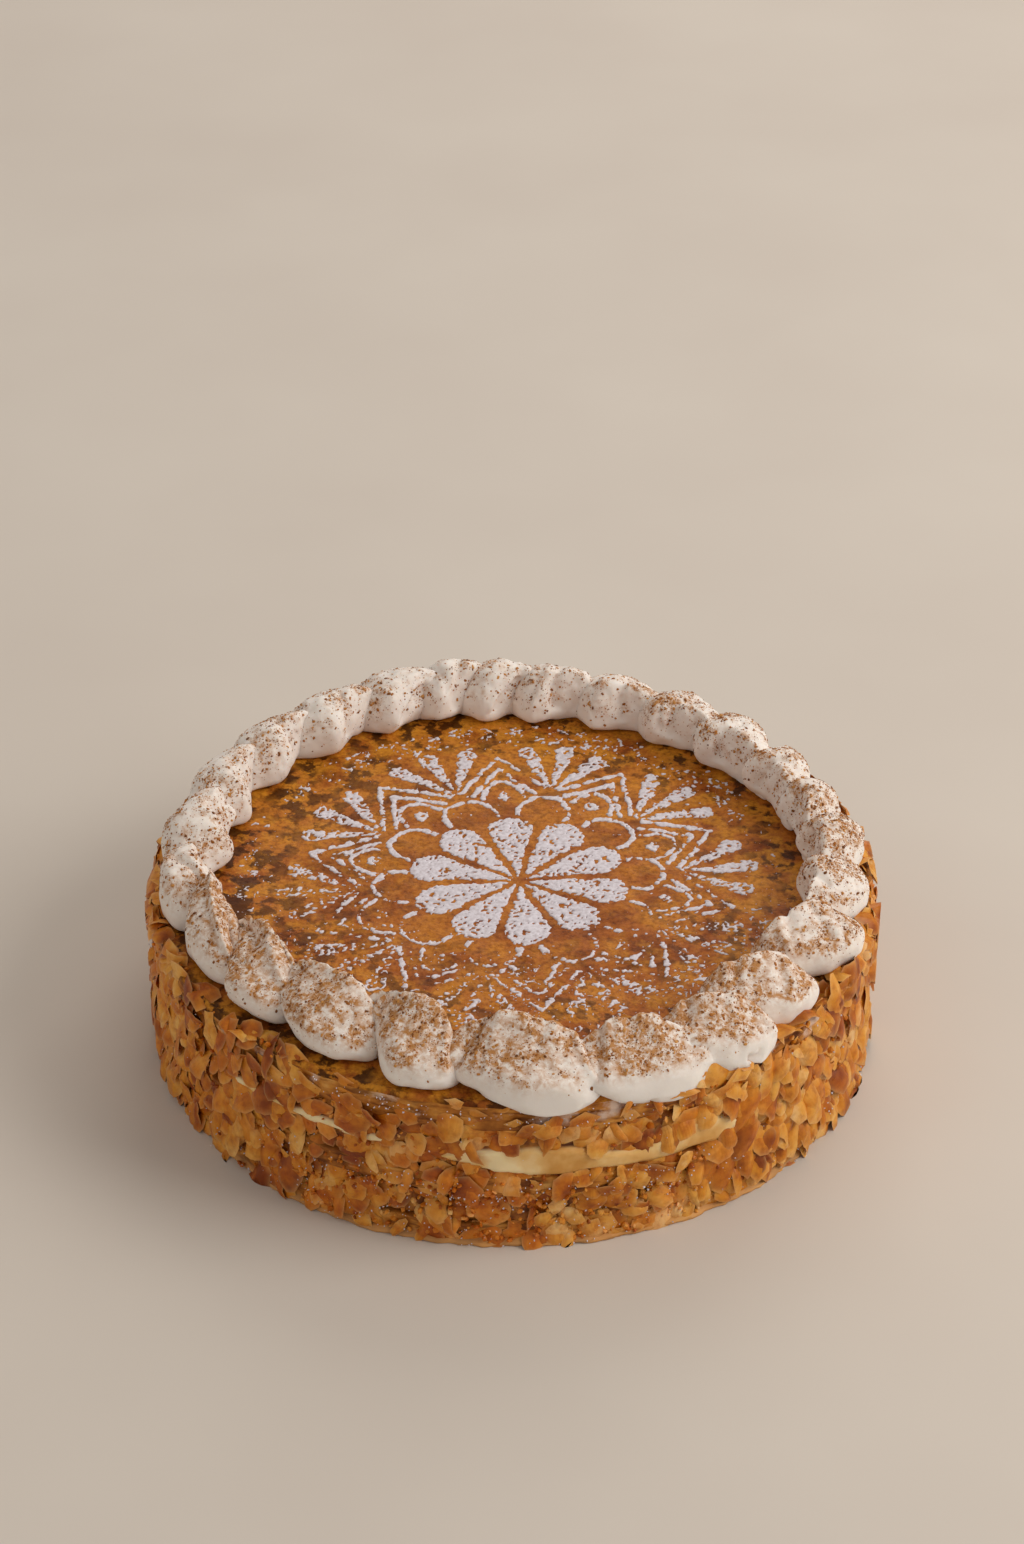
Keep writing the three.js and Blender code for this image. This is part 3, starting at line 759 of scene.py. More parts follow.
# Folds and dents of single swirls: from and to (share along it, turn in degrees), half width and height
# in millimetres, below zero for a dent.
folds = {
    0: [(0.5, 95, 0.56, 178, 1.8, -1.4), (0.66, 120, 0.62, 175, 4.3, 0.7)],
    1: [(0.52, 100, 0.46, 178, 1.9, -1.5), (0.76, 100, 0.7, 165, 1.5, -0.8)],
    2: [(0.5, 90, 0.54, 178, 1.8, -1.5), (0.7, 140, 0.72, 165, 4.9, 0.8)],
    3: [(0.52, 80, 0.5, 178, 1.8, -1.6), (0.74, 95, 0.78, 160, 1.8, -0.9)],
    4: [(0.48, 70, 0.52, 178, 1.7, -1.6), (0.66, 110, 0.6, 170, 1.5, -0.9),
        (0.72, 150, 0.76, 165, 4.3, 0.8)],
    5: [(0.5, 85, 0.46, 178, 1.8, -1.4), (0.76, 110, 0.72, 172, 1.7, -0.8)],
    6: [(0.52, 60, 0.5, 178, 1.9, -2), (0.7, 120, 0.78, 170, 1.5, -0.8)],
    7: [(0.4, 130, 0.66, 176, 1.4, 1.2), (0.38, 142, 0.6, 180, 1.7, -1.5)],
    8: [(0.5, 95, 0.54, 178, 1.9, -1.5), (0.7, 100, 0.66, 150, 1.5, -0.7)],
    9: [(0.4, 130, 0.7, 178, 1.6, 1.3), (0.36, 142, 0.62, 182, 1.8, -1.6)],
    10: [(0.48, 95, 0.52, 178, 1.8, -1.6), (0.72, 150, 0.76, 168, 5.8, 1)],
    11: [(0.5, 90, 0.48, 178, 1.9, -1.5), (0.7, 110, 0.74, 165, 1.5, -0.8)],
    12: [(0.5, 100, 0.54, 178, 1.8, -1.5), (0.74, 120, 0.68, 172, 1.7, -0.9)],
    13: [(0.34, 166, 0.36, 168, 3.4, 4.1), (0.5, 110, 0.52, 180, 2, -2),
        (0.78, 150, 0.8, 165, 6.5, 1.1)],
    14: [(0.5, 70, 0.74, 110, 1.4, -1.9), (0.4, 40, 0.7, 60, 2, 1)],
    15: [(0.10, 95, 0.42, 92, 1.6, 1.8), (0.42, 92, 0.92, 76, 1.3, 2.2), (0.40, 125, 0.88, 108, 2.4, -2.4)],
    16: [(0.12, 78, 0.52, 74, 2.6, -2.4), (0.55, 92, 0.92, 78, 1.3, 1.5),
        (0.60, 112, 0.90, 104, 1.8, -1.4)],
    17: [(0.10, 60, 0.20, 120, 1.1, -1.6), (0.24, 55, 0.34, 112, 1.2, -1.3),
        (0.40, 70, 0.46, 110, 1.3, -0.9), (0.68, 70, 0.74, 112, 1.8, 1.0)],
    18: [(0.16, 40, 0.26, 118, 1.2, -2.2), (0.30, 60, 0.36, 112, 1.2, -1.1),
        (0.50, 60, 0.54, 110, 1.6, 0.9), (0.90, 20, 0.86, 100, 1.3, 1.2)],
    19: [(0.20, 20, 0.28, 112, 1.6, -1.7), (0.36, 80, 0.38, 112, 2.2, 1.5),
        (0.62, 72, 0.66, 112, 1.5, -0.9), (0.92, 15, 0.84, 100, 1.3, 1.4)],
    20: [(0.22, 20, 0.26, 112, 1.5, -1.5), (0.44, 70, 0.48, 112, 1.4, -0.8),
        (0.92, 15, 0.86, 95, 1.4, 1.2)],
    21: [(0.24, 40, 0.30, 112, 1.4, -1.4), (0.56, 60, 0.60, 110, 1.5, -0.8),
        (0.90, 20, 0.84, 95, 1.4, 1.0)],
    22: [(0.30, 60, 0.34, 120, 1.6, -1.4), (0.60, 40, 0.70, 84, 1.5, -1.2),
        (0.70, 60, 0.80, 100, 2.0, 1.1)],
    23: [(0.32, 70, 0.40, 150, 1.6, -1.5), (0.56, 50, 0.62, 110, 1.5, -1.2),
        (0.74, 40, 0.78, 90, 1.8, 1.0)],
    24: [(0.4, 80, 0.46, 178, 1.9, -1.6), (0.62, 100, 0.6, 172, 1.7, -0.9),
        (0.78, 60, 0.7, 110, 2.3, 0.6)],
}


# Lowest height that cream may reach at a place: it lies on the crust and hangs over its rim.
def creamFloor(x, y):
    drop = piping["overhang"] * smoothStep(np.hypot(x, y), 125.2 * mm, 129.5 * mm)
    return cakeTop + 0.1 * mm - drop * mm


# The bare skin of one swirl, with each point's share along it and its turn over it in degrees.
def swirlSkin(index):
    swirl = dict(zip(swirlNames, swirls[index]))
    rings, sides = piping["rings"], piping["sides"]
    power = 2 / piping["roundness"]
    turn = math.pi * np.arange(0, rings + 1) / rings
    along = 0.5 - 0.5 * np.sign(np.cos(turn)) * np.abs(np.cos(turn)) ** power
    taper = np.sin(turn) ** power

    def between(key, share):
        return swirl["tail" + key] + (swirl["head" + key] - swirl["tail" + key]) * share

    def centre(share):
        angle, radius = np.radians(between("Angle", share)), between("Radius", smoothStep(share, -0.15, 0.9))
        return np.stack([radius * np.cos(angle), radius * np.sin(angle)], axis=-1)

    ahead = centre(along + 0.01) - centre(along - 0.01)
    ahead /= np.linalg.norm(ahead, axis=1, keepdims=True)
    outward = np.stack([ahead[:, 1], -ahead[:, 0]], axis=-1)
    grown = smoothStep(along, 0.32 * swirl["late"], 0.65 + 0.03 * swirl["late"])
    reachOut = between("Out", grown) - 0.3 * (60 - swirl["belly"]) * smoothStep(along, 0.65, 1)
    reachIn = between("In", grown) + swirl["bulge"] * np.exp(-((along - 0.74) / 0.15) ** 2)
    reachIn -= (1 - swirl["scoop"]) * 2.4 * plateau(along, 0.08, 0.2, 0.36, 0.62)
    top = swirl["crest"] - 5 * (1 - smoothStep(along, 0, 0.3)) - 3 * smoothStep(along, 0.6, 1)
    low = 59.5 + (swirl["belly"] - 60) * (smoothStep(along, 0.1, 0.55) - 0.4 * smoothStep(along, 0.68, 1))
    widest = low + (top - low) * piping["widest"]

    # The cut across it: an egg shape, blended into the scooped one on the upper half.
    side = -2 * math.pi * np.arange(sides) / sides
    sideUp = np.degrees(side % (2 * math.pi))
    across, rise = np.cos(side), np.sin(side)
    isUnder = rise < 0
    across = np.sign(across) * np.abs(across) ** np.where(isUnder, 0.55, 0.85)
    rise = np.sign(rise) * np.abs(rise) ** np.where(isUnder, 0.8, 0.85)
    scooped = swirl["scoop"] * smoothStep(along, 0, 0.2) * (1 - 0.55 * smoothStep(along, 0.75, 1))
    scooped = scooped[:, None] * (sideUp < 180)
    cutAcross, cutRise = (sum(np.interp(sideUp + shift, scoopedCut["turns"], scoopedCut[key])
                              for shift in (-6, -3, 0, 3, 6)) / 5 for key in ("across", "rise"))
    across = across + scooped * (cutAcross - across)
    rise = rise + scooped * (cutRise - rise)

    reach = np.where(across > 0, reachOut[:, None], reachIn[:, None])
    shape = 1 + 0.03 * np.cos(3 * np.radians(sideUp) + 2.2 * along[:, None] + index)
    lean = swirl["lean"] * np.maximum(rise, 0) ** 1.5 * smoothStep(along, 0, 0.4)[:, None]
    wide = (reach * across * shape + lean) * taper[:, None]
    tall = np.where(rise > 0, (top - widest)[:, None] * taper[:, None] * shape,
                    (widest - low)[:, None] * taper[:, None] ** 0.5)
    raised = swirl["late"] * (1 - smoothStep(along, 0.3, 0.62))[:, None] * smoothStep(across, 0, 0.6)
    tall = np.where(rise < 0, tall * (1 - 0.6 * raised), tall)
    height = widest - (1 - taper) * (widest - low) * 0.5
    flat = centre(along)[:, None, :] + outward[:, None, :] * wide[..., None]
    loops = np.concatenate([flat, (height[:, None] + tall * rise)[..., None]], axis=-1)
    spots = loops.reshape(-1, 3)
    seeds = [index * 3 + axis for axis in range(3)]
    broad = np.stack([layeredLumps(spots, 10, 70 + seed) for seed in seeds], axis=-1)
    small = np.stack([lumps(spots, 3.6, 170 + seed) for seed in seeds], axis=-1)
    push = broad * piping["lump"] * (1.3 - 0.35 * swirl["scoop"]) + 0.35 * small
    spots = spots + push * np.repeat(taper, sides)[:, None]
    start, end = spots[:sides].mean(axis=0), spots[-sides:].mean(axis=0)
    loops = spots.reshape(loops.shape) * mm
    place = np.stack(np.broadcast_arrays(along[1:-1, None], sideUp), axis=-1).reshape(-1, 2)
    points, faces = closedSkin(start * mm, list(loops[1:-1]), end * mm)
    return points, faces, np.concatenate([[[0, 90]], place, [[1, 90]]])


# Fine relief on a swirl's skin: pleats across its tail, a ruffled crest, small ripples and its folds.
def creamRelief(points, normals, place, index):
    swirl = dict(zip(swirlNames, swirls[index]))
    along, sideUp = place[:, 0], place[:, 1]
    length = math.radians(swirl["headAngle"] - swirl["tailAngle"]) * 110
    rows = np.stack([along * length, np.radians(sideUp) * 2.2, np.full(len(along), index * 50)], -1) * mm
    upper = plateau(sideUp, 8, 35, 150, 185)
    tail = 1 - smoothStep(along, 0.30, 0.62)
    pleats = layeredLumps(rows, 1.7 * mm, 230 + index) * tail * upper * swirl["pleats"]
    crest = np.exp(-((sideUp - 108) / 24) ** 2)
    ruffle = lumps(rows * np.array([1, 0.4, 1]), 4.2 * mm, 260 + index)
    ruffle *= crest * (1 - smoothStep(along, 0.8, 1))
    ripple = layeredLumps(points, 2.3 * mm, 290) * (0.25 + 0.75 * upper)
    push = piping["pleat"] * pleats + piping["ruffle"] * ruffle + piping["ripple"] * ripple
    scale = np.array([length, math.radians(piping["turnLength"])])  # to millimetres on the skin
    for fromAlong, fromTurn, toAlong, toTurn, halfWidth, height in folds[index]:
        start, end = (fromAlong, fromTurn) * scale, (toAlong, toTurn) * scale
        away, _ = distanceToLine(along * scale[0], sideUp * scale[1], start, end)
        push += height * np.exp(-(away / halfWidth) ** 2)
    return points + normals * (push * mm)[:, None]


# Draws the points that lie inside a neighbour back to just under its skin.
def clearOf(points, neighbour):
    for at, point in enumerate(points):
        spot = Vector(point)
        nearest, normal, _, _ = neighbour.find_nearest(spot, piping["neighbour"] * mm)
        if nearest is not None and (spot - nearest).dot(normal) < 0:
            points[at] = nearest - normal * piping["tuck"] * mm
    return points


# Eases the skin of a swirl where it was pressed against the crust or a neighbour.
def eased(points, pressed):
    rings, sides = piping["rings"] - 1, piping["sides"]
    grid = points[1:-1].reshape(rings, sides, 3)
    weight = pressed[1:-1].astype(float).reshape(rings, sides, 1)
    for _ in range(3):
        ahead, behind = np.concatenate([grid[1:], grid[-1:]]), np.concatenate([grid[:1], grid[:-1]])
        mean = (np.roll(grid, 1, 1) + np.roll(grid, -1, 1) + ahead + behind) / 4
        weight = np.maximum(weight, 0.5 * np.maximum(np.roll(weight, 1, 1), np.roll(weight, -1, 1)))
        grid = grid + 0.6 * weight * (mean - grid)
    return np.concatenate([points[:1], grid.reshape(-1, 3), points[-1:]])


# How much cocoa lies on the cream, from 0 to 1, thick on what faces up and out, high on a swirl and on its
# inner side.
def cocoaFall(points, normals):
    degrees = degreesOf(points)
    outward = (normals[:, :2] * points[:, :2]).sum(axis=1) / np.hypot(points[:, 0], points[:, 1])
    heavy = 0.78 + aroundAll(degrees, (0.24, 172, 40, 35), (0.24, 30, 30, 25), (0.25, 226, 22, 14),
                             (-0.12, 130, 28, 20), (0.38, 282, 34, 20), (0.30, 350, 15, 15))
    upward = smoothStep(normals[:, 2] + 0.15 * outward * around(degrees, 100, 90, 30), 0.0, 0.85)
    high = smoothStep(points[:, 2], cakeTop + 1.5 * mm, cakeTop + 12 * mm)
    inner = 1 - smoothStep(outward, -0.5, 0.1)
    broad = 0.80 + 0.55 * layeredLumps(points, 8 * mm, 91)
    lying = 0.58 * upward * (0.35 + 0.65 * high) + (0.30 + 0.30 * inner) * high
    return np.clip(heavy * lying * broad, 0, 1)


# Tints a finished swirl with the finest cocoa and says where grains of it may lie.
def dustCream(mesh, points, hidden):
    fall = cocoaFall(points, normalsOf(mesh))
    clots = lumps(points, 1.7 * mm, 93) + 0.8 * lumps(points, 4.2 * mm, 94)
    gathered = smoothStep(clots + 1.25 * fall, 0.55, 1.25)
    front = around(degreesOf(points), 262, 55, 30)
    veil = 0.22 + 0.62 * front + (0.60 - 0.06 * front) * gathered
    grains = 0.22 - 0.10 * front + (0.56 - 0.08 * front) * gathered
    setAttribute(mesh, "dusting", np.clip(fall * veil, 0, 1))
    setAttribute(mesh, "cover", np.where(hidden, 0, fall * grains))


def makeCream():
    shapes, pieces, trees = [], [], []
    for index in range(len(swirls)):
        points, faces, place = swirlSkin(index)
        piece = meshPiece("piped_swirl_%02d" % (index + 1), points, faces, creamFinish)
        free = creamRelief(points, normalsOf(piece.data), place, index)
        laid = free.copy()
        laid[:, 2] = np.clip(free[:, 2], creamFloor(free[:, 0], free[:, 1]), topLimit)
        laid[:, :2] *= np.minimum(1, sideLimit / np.hypot(free[:, 0], free[:, 1]))[:, None]
        laid = eased(laid, np.linalg.norm(laid - free, axis=1) > 0.2 * mm)
        laid[:, 2] = np.minimum(laid[:, 2], topLimit)
        shapes.append(laid)
        pieces.append(piece)
        trees.append(BVHTree.FromPolygons(laid.tolist(), faces))
    for index, (piece, laid) in enumerate(zip(pieces, shapes)):
        clear = laid.copy()
        for before in (1, 2):
            clear = clearOf(clear, trees[index - before])
        hidden = np.linalg.norm(clear - laid, axis=1) > 1e-6
        clear = eased(clear, hidden)
        setPoints(piece.data, clear)
        dustCream(piece.data, clear, hidden)
    return pieces


creamPieces = makeCream()
print("stage: cream swirls")


# One tree puts shapes from a collection on a surface, as thick as its "cover" attribute says.
def scatterTree():
    tree = bpy.data.node_groups.new("scatterOnSurface", "GeometryNodeTree")
    for name, kind in (("Surface", "Geometry"), ("Shapes", "Collection"), ("Finish", "Material"),
                       ("Per square metre", "Float"), ("Smallest", "Float"), ("Largest", "Float"),
                       ("Lean", "Vector"), ("Steady lean", "Vector"), ("Lift", "Float"), ("Seed", "Int")):
        tree.interface.new_socket(name, in_out="INPUT", socket_type="NodeSocket" + kind)
    tree.interface.new_socket("Scattered", in_out="OUTPUT", socket_type="NodeSocketGeometry")
    add = partial(addNode, tree, "")
    given = add("NodeGroupInput").outputs
    lowLean = add("ShaderNodeVectorMath", {"Vector": given["Lean"], "Vector_001": (-1.0, -1.0, -1.0)},
                  operation="MULTIPLY")
    draws = dict(  # the kind of each random draw, its lowest and highest value and its seed
        lean=("FLOAT_VECTOR", lowLean, given["Lean"], 5), lift=("FLOAT", 0.0, given["Lift"], 6),
        pick=("INT", 0, 99, 7), size=("FLOAT", given["Smallest"], given["Largest"], 8),
        tone=("FLOAT", 0.0, 1.0, 9))
    drawn = {name: add("FunctionNodeRandomValue", {"Min": low, "Max": high, "Seed": seed}, data_type=kind)
             for name, (kind, low, high, seed) in draws.items()}
    cover = add("GeometryNodeInputNamedAttribute", {"Name": "cover"}, data_type="FLOAT")
    density = add("ShaderNodeMath", {"Value": cover, "Value_001": given["Per square metre"]},
                  operation="MULTIPLY")
    spots = add("GeometryNodeDistributePointsOnFaces",
                {"Mesh": given["Surface"], "Density": density, "Seed": given["Seed"]})
    normal = socketOf(spots.outputs, "Normal")
    facing = add("FunctionNodeAlignRotationToVector", {"Vector": normal}, axis="Z")
    upright = add("FunctionNodeAlignRotationToVector", {"Rotation": facing, "Vector": (0.0, 0.0, 1.0)},
                  axis="Y", pivot_axis="Z")
    lean = add("ShaderNodeVectorMath", {"Vector": drawn["lean"], "Vector_001": given["Steady lean"]},
               operation="ADD")
    turn = add("FunctionNodeEulerToRotation", {"Euler": lean})
    turned = add("FunctionNodeRotateRotation", {"Rotation": upright, "Rotate By": turn},
                 rotation_space="LOCAL")
    lift = add("ShaderNodeVectorMath", {"Vector": normal, "Scale": drawn["lift"]}, operation="SCALE")
    raised = add("GeometryNodeSetPosition", {"Geometry": spots, "Offset": lift})
    shapes = add("GeometryNodeCollectionInfo",
                 {"Collection": given["Shapes"], "Separate Children": True, "Reset Children": True})
    placed = add("GeometryNodeInstanceOnPoints",
                 {"Points": raised, "Instance": shapes, "Pick Instance": True,
                  "Instance Index": drawn["pick"], "Rotation": turned, "Scale": drawn["size"]})
    toned = add("GeometryNodeStoreNamedAttribute",
                {"Geometry": placed, "Name": "tone", "Value": drawn["tone"]},
                data_type="FLOAT", domain="INSTANCE")
    real = add("GeometryNodeRealizeInstances", {"Geometry": toned})
    dressed = add("GeometryNodeSetMaterial", {"Geometry": real, "Material": given["Finish"]})
    add("NodeGroupOutput", {"Scattered": dressed})
    return tree


scatterNodes = scatterTree()


# Scatters shapes over a surface as one plain mesh, inside the CAD model's box, and keeps it as a piece.
def scatter(name, surface, meshes, finish, slot, kind):
    store = bpy.data.collections.new(name + "_store")
    bpy.context.scene.collection.children.link(store)
    for mesh in meshes:
        store.objects.link(bpy.data.objects.new(mesh.name, mesh))
    surface.name = name
    modifier = surface.modifiers.new("scatter", "NODES")
    modifier.node_group = scatterNodes
    sockets = {item.name: item.identifier for item in scatterNodes.interface.items_tree}
    values = {"Shapes": store, "Finish": finish, "Per square metre": float(kind["perArea"]),
              "Smallest": kind["smallest"], "Largest": kind["largest"], "Lean": kind["lean"],
              "Steady lean": kind.get("steady", (0.0, 0.0, 0.0)), "Lift": kind["lift"] * mm,
              "Seed": kind["seed"]}
    for key, value in values.items():
        modifier[sockets[key]] = value
    graph = bpy.context.evaluated_depsgraph_get()
    mesh = bpy.data.meshes.new_from_object(surface.evaluated_get(graph), preserve_all_data_layers=True,
                                           depsgraph=graph)
    surface.modifiers.clear()
    surface.data = mesh
    mesh.name = name
    points = pointsOf(mesh)
    radius = np.hypot(points[:, 0], points[:, 1])
    points[:, :2] *= np.minimum(1, sideLimit / np.maximum(radius, 1e-6))[:, None]
    points[:, 2] = np.clip(points[:, 2], clearance, topLimit + clearance)
    setPoints(mesh, points)
    for shape in list(store.objects):
        bpy.data.objects.remove(shape)
    bpy.data.collections.remove(store)
    keepPiece(surface, slot)
    mesh.calc_loop_triangles()
    print("  %s: %d triangles" % (name, len(mesh.loop_triangles)))


leafThickness = 0.35  # millimetres


# A thin leaf: an outline with a raised middle ring above and below, joined at a sharp rim.
def leafMesh(name, leaf, seed):
    random = np.random.default_rng(seed)
    corners = leaf["corners"]
    half = np.array([leaf["width"], leaf["length"]]) / 2
    turns = 2 * math.pi * (np.arange(corners) + random.uniform(-0.25, 0.25, corners)) / corners
    reach = 1 + leaf["ragged"] * random.uniform(-1, 1, corners)
    outer = np.stack([np.cos(turns), np.sin(turns)], -1) * half * reach[:, None]
    twist = leaf["twist"] * random.uniform(-1, 1)

    def cupped(flat, side):
        across, upward = (flat / half).T
        height = -leaf["cup"] * across ** 2 - leaf["curl"] * upward ** 2 + twist * across * upward
        return np.column_stack([flat, height + side * leafThickness / 2]) * mm

    centre, middle = np.zeros((1, 2)), outer * 0.58
    rings = ((centre, 1), (middle, 1), (outer, 0), (middle, -1), (centre, -1))
    points = np.concatenate([cupped(flat, side) for flat, side in rings])
    near = np.arange(corners)
    far = (near + 1) % corners
    up, rim, down, last = 1, 1 + corners, 1 + 2 * corners, 1 + 3 * corners
    faces = [[0, up + a, up + b] for a, b in zip(near, far)]
    faces += [[up + a, rim + a, rim + b, up + b] for a, b in zip(near, far)]
    faces += [[rim + a, down + a, down + b, rim + b] for a, b in zip(near, far)]
    faces += [[last, down + b, down + a] for a, b in zip(near, far)]
    mesh = bpy.data.meshes.new(name)
    mesh.from_pydata(points.tolist(), [], faces)
    mesh.polygons.foreach_set("use_smooth", np.full(len(faces), True))
    sharp = mesh.attributes.new("sharp_edge", "BOOLEAN", "EDGE")
    sharp.data.foreach_set("value", [all(rim <= end < down for end in edge.vertices) for edge in mesh.edges])
    quarter = np.full(corners, 0.25)
    setAttribute(mesh, "rim", np.concatenate([[0], quarter, np.ones(corners), quarter, [0]]))
    setAttribute(mesh, "across", points[:, 0] / (half[0] * mm))
    return mesh


# A small grain: a lumpy, flattened ball of twenty faces, or of eight for the finest.
def grainMesh(name, flatness, ragged, seed, finest=False):
    random = np.random.default_rng(seed)
    g = (1 + 5 ** 0.5) / 2  # the golden ratio, for a ball of twenty equal faces
    base = [(-1, g, 0), (1, g, 0), (-1, -g, 0), (1, -g, 0), (0, -1, g), (0, 1, g),
            (0, -1, -g), (0, 1, -g), (g, 0, -1), (g, 0, 1), (-g, 0, -1), (-g, 0, 1)]
    faces = [(0, 11, 5), (0, 5, 1), (0, 1, 7), (0, 7, 10), (0, 10, 11), (1, 5, 9), (5, 11, 4),
             (11, 10, 2), (10, 7, 6), (7, 1, 8), (3, 9, 4), (3, 4, 2), (3, 2, 6), (3, 6, 8), (3, 8, 9),
             (4, 9, 5), (2, 4, 11), (6, 2, 10), (8, 6, 7), (9, 8, 1)]
    if finest:
        base = [(1, 0, 0), (0, 1, 0), (-1, 0, 0), (0, -1, 0), (0, 0, 1), (0, 0, -1)]
        faces = [(0, 1, 4), (1, 2, 4), (2, 3, 4), (3, 0, 4), (1, 0, 5), (2, 1, 5), (3, 2, 5), (0, 3, 5)]
    points = np.array(base, float) / np.linalg.norm(base[0])
    points *= 1 + ragged * random.uniform(-1, 1, (len(base), 1))
    points *= np.array([1, random.uniform(0.6, 1), flatness]) * mm
    mesh = bpy.data.meshes.new(name)
    mesh.from_pydata(points.tolist(), [], faces)
    return mesh


def radians(*degrees):
    return tuple(math.radians(value) for value in degrees)


# Each kind of flake: its leaf in millimetres, how many lie on a square metre, how small and large
# they come, how far they lean at random and always, how far they stand off, in millimetres, and
# the share of them that goes where the flakes stand upright.
flakeKinds = dict(
    pastry_sheets=dict(
        leaf=dict(corners=11, width=12.5, length=15.0, ragged=0.2, cup=1.5, curl=1.2, twist=1.6),
        perArea=26000, smallest=0.55, largest=1.15, lean=radians(11, 12, 180), steady=radians(-3, 0, 0),
        lift=1.6, seed=6, upright=0.4),
    pastry_flakes_round=dict(
        leaf=dict(corners=11, width=9.2, length=10.2, ragged=0.10, cup=1.7, curl=0.9, twist=1.2),
        perArea=27000, smallest=0.55, largest=1.2, lean=radians(20, 20, 60), steady=radians(-14, 0, 0),
        lift=2.5, seed=3, upright=0.35),
    pastry_flakes_broken=dict(
        leaf=dict(corners=9, width=8.4, length=10.6, ragged=0.30, cup=1.4, curl=1.4, twist=1.6),
        perArea=22000, smallest=0.4, largest=1.15, lean=radians(28, 26, 180), steady=radians(-8, 0, 0),
        lift=2.3, seed=4, upright=0.25),
    pastry_plates=dict(
        leaf=dict(corners=13, width=10.6, length=17.0, ragged=0.17, cup=2.6, curl=1.7, twist=2.4),
        perArea=35000, smallest=0.45, largest=1.25, lean=radians(21, 28, 30), steady=radians(-16, 0, 6),
        lift=3.3, seed=5, upright=1),
    pastry_shards=dict(
        leaf=dict(corners=8, width=5.0, length=15.0, ragged=0.24, cup=1.3, curl=2.4, twist=1.8),
        perArea=13000, smallest=0.6, largest=1.1, lean=radians(30, 28, 40), steady=radians(-14, 0, 12),
        lift=3.0, seed=7, upright=0.6),
)


# The part of the front that is more crumbs than flakes.
def crumbZone(degrees, height):
    return around(degrees, 272, 24, 16) * (1 - smoothStep(height, 24, 31))


# How thickly the sides are covered, from 0 to 1, at an angle and a height in millimetres.
def flakeCover(degrees, height, upright=0.5):
    spots = sideSpots(degrees, height)
    patch = layeredLumps(spots, 9, 61)
    cover = np.clip(0.95 + 0.5 * patch, 0.25, 1)
    lip = aroundAll(degrees, (1, 262, 20, 18), (0.7, 110, 30, 20))
    lipFoot = 49 + 1.6 * layeredLumps(spots, 17, 63) + 5 * (1 - around(degrees, 268, 14, 26))
    cover *= 1 - 0.95 * np.clip(lip, 0, 1) * smoothStep(height, lipFoot, lipFoot + 2.5)
    cover *= 1 - smoothStep(height, 60.5, 62.5)
    cover *= 1 - 0.96 * custardWindow(degrees, height)
    ledge = around(degrees, 268, 26, 10) * plateau(height, 20, 22.5, 26.5, 28.5)
    cover *= 1 - 0.45 * ledge
    cover *= 1 - 0.5 * crumbZone(degrees, height) * (1 - 0.5 * patch)
    standing = aroundAll(degrees, (1, 325, 22, 12), (0.6, 205, 20, 12), (0.6, 75, 50, 20))
    standing = np.clip(standing, 0, 1)
    cover *= standing * upright + (1 - standing) * (1 - upright) ** 0.5
    return np.clip(cover, 0, 1) * smoothStep(height, 0.5, 1.6)


def crumbCover(degrees, height):
    share = 0.9 * crumbZone(degrees, height) * smoothStep(height, 1.2, 2.4)
    share += 0.5 * flakeCover(degrees, height)
    return np.clip(share, 0, 1) * (1 - 0.93 * custardWindow(degrees, height))


wallBend = 58.8  # above this height, in millimetres, the wall runs on inward over the crust


# The surface that flakes are pressed on to: a wall just outside the layers.
def flakeWall(cover, low=0.6, high=63.6, rows=64, columns=540, grow=0.0, **choice):
    angle, height = np.meshgrid(np.linspace(0, 2 * math.pi, columns, endpoint=False),
                                np.linspace(low, high, rows))
    degrees = np.degrees(angle)
    spots = sideSpots(degrees, height).reshape(-1, 3)
    radius = 124.6 + grow + 0.9 * layeredLumps(spots, 11, 62).reshape(angle.shape)
    radius += 1.2 * around(degrees, 268, 26, 12) * plateau(height, 19, 23, 27, 30)
    radius += 0.8 * smoothStep(height, 47, 50)
    past = np.maximum(height - wallBend, 0)
    radius -= past
    rounded = np.minimum(height, wallBend) + 0.8 * (1 - np.exp(-past))
    points = np.stack([radius * np.cos(angle), radius * np.sin(angle), rounded], -1).reshape(-1, 3) * mm
    row, column = np.meshgrid(np.arange(rows - 1) * columns, np.arange(columns), indexing="ij")
    beside = (column + 1) % columns
    corners = (row + column, row + beside, row + columns + beside, row + columns + column)
    wall = meshPiece("wall", points, np.stack(corners, -1).reshape(-1, 4), None)
    setAttribute(wall.data, "cover", cover(degrees.ravel(), height.ravel(), **choice))
    return wall


for name, kind in flakeKinds.items():
    leaves = [leafMesh("%s_leaf_%d" % (name, at), kind["leaf"], kind["seed"] * 10 + at) for at in range(5)]
    scatter(name, flakeWall(flakeCover, upright=kind["upright"]), leaves, flakeFinish, "puff_pastry", kind)
crumbs = dict(perArea=150000, smallest=0.4, largest=1.5, lean=(3.0, 3.0, 3.0), lift=1.8, seed=9)
crumbMeshes = [grainMesh("crumb_%d" % at, 0.6, 0.3, 80 + at) for at in range(5)]
scatter("pastry_crumbs", flakeWall(crumbCover), crumbMeshes, flakeFinish, "puff_pastry", crumbs)
print("stage: flakes and crumbs")


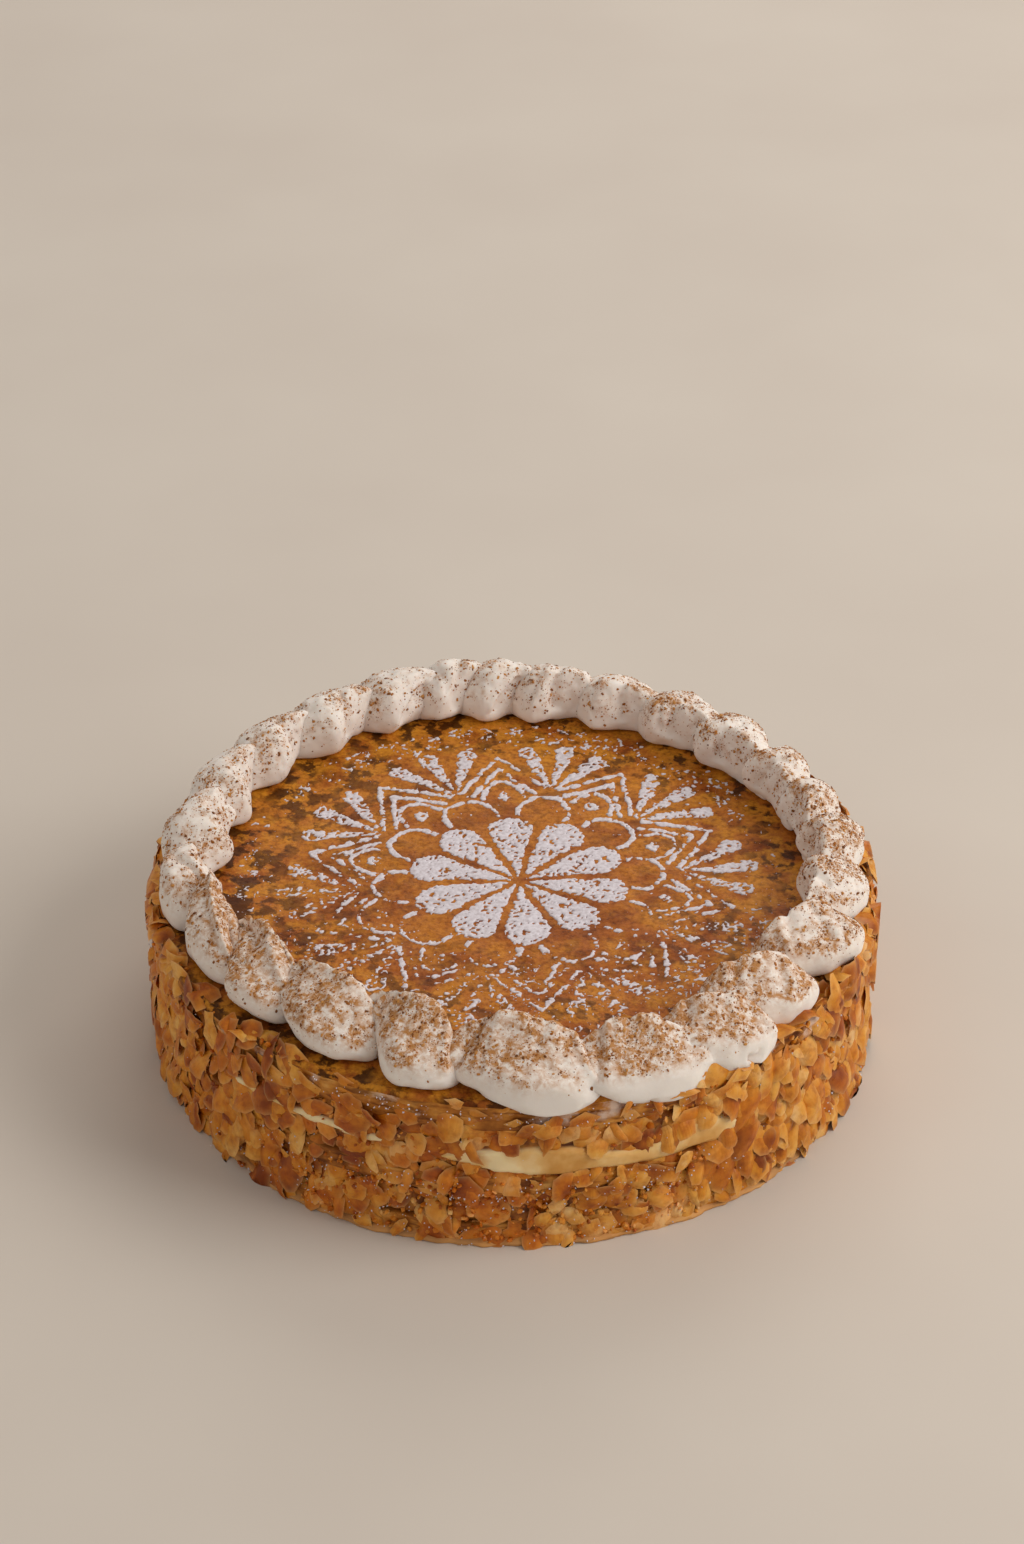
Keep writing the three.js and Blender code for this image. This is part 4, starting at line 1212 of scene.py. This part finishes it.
# One mesh of all the swirls that says where grains may lie.
def joinedCopy(name, pieces):
    points, faces, cover, offset = [], [], [], 0
    for piece in pieces:
        points.append(pointsOf(piece.data))
        faces += [[offset + at for at in polygon.vertices] for polygon in piece.data.polygons]
        cover.append([spot.value for spot in piece.data.attributes["cover"].data])
        offset += len(points[-1])
    joined = meshPiece(name, np.concatenate(points), faces, None)
    setAttribute(joined.data, "cover", np.concatenate(cover))
    return joined


clots = [grainMesh("clot_%d" % at, 0.4, 0.4, 90 + at) for at in range(6)]
specks = [grainMesh("speck_%d" % at, 0.5, 0.3, 60 + at, True) for at in range(4)]
cocoaLie = dict(lean=(0.3, 0.3, 3.1), lift=0.1)
cocoaKinds = dict(
    cocoa_grains_fine=dict(perArea=1900000, smallest=0.13, largest=0.32, seed=21, meshes=specks, **cocoaLie),
    cocoa_grains_coarse=dict(perArea=460000, smallest=0.25, largest=0.7, seed=22, meshes=clots, **cocoaLie),
)
for name, kind in cocoaKinds.items():
    scatter(name, joinedCopy(name, creamPieces), kind["meshes"], cocoaFinish, "cocoa", kind)
for at, piece in enumerate(creamPieces):
    piece.data.attributes.remove(piece.data.attributes["cover"])
    keepPiece(piece, "whipped_cream", "cream_swirl_%02d" % (at + 1))
print("stage: cocoa")


# Where loose sugar lies on the sides: on the bare rim, the ledge under it and the foot at the front.
def sugarCover(degrees, height):
    lip = around(degrees, 264, 24, 12) * smoothStep(height, 50, 52)
    ledge = around(degrees, 265, 28, 12) * plateau(height, 15, 19, 28, 31)
    foot = 0.35 * around(degrees, 280, 45, 30) * (1 - smoothStep(height, 12, 20))
    return np.clip(lip + 0.8 * ledge + foot + 0.06, 0, 1)


sugarGrains = dict(perArea=110000, smallest=0.18, largest=0.5, lean=(3.0, 3.0, 3.0), lift=0.8, seed=31)
sugarWall = flakeWall(sugarCover, high=wallBend, rows=59, grow=2.2)
scatter("sugar_grains", sugarWall, specks, sugarFinish, "icing_sugar", sugarGrains)
print("stage: sugar grains")

print("stage: done")
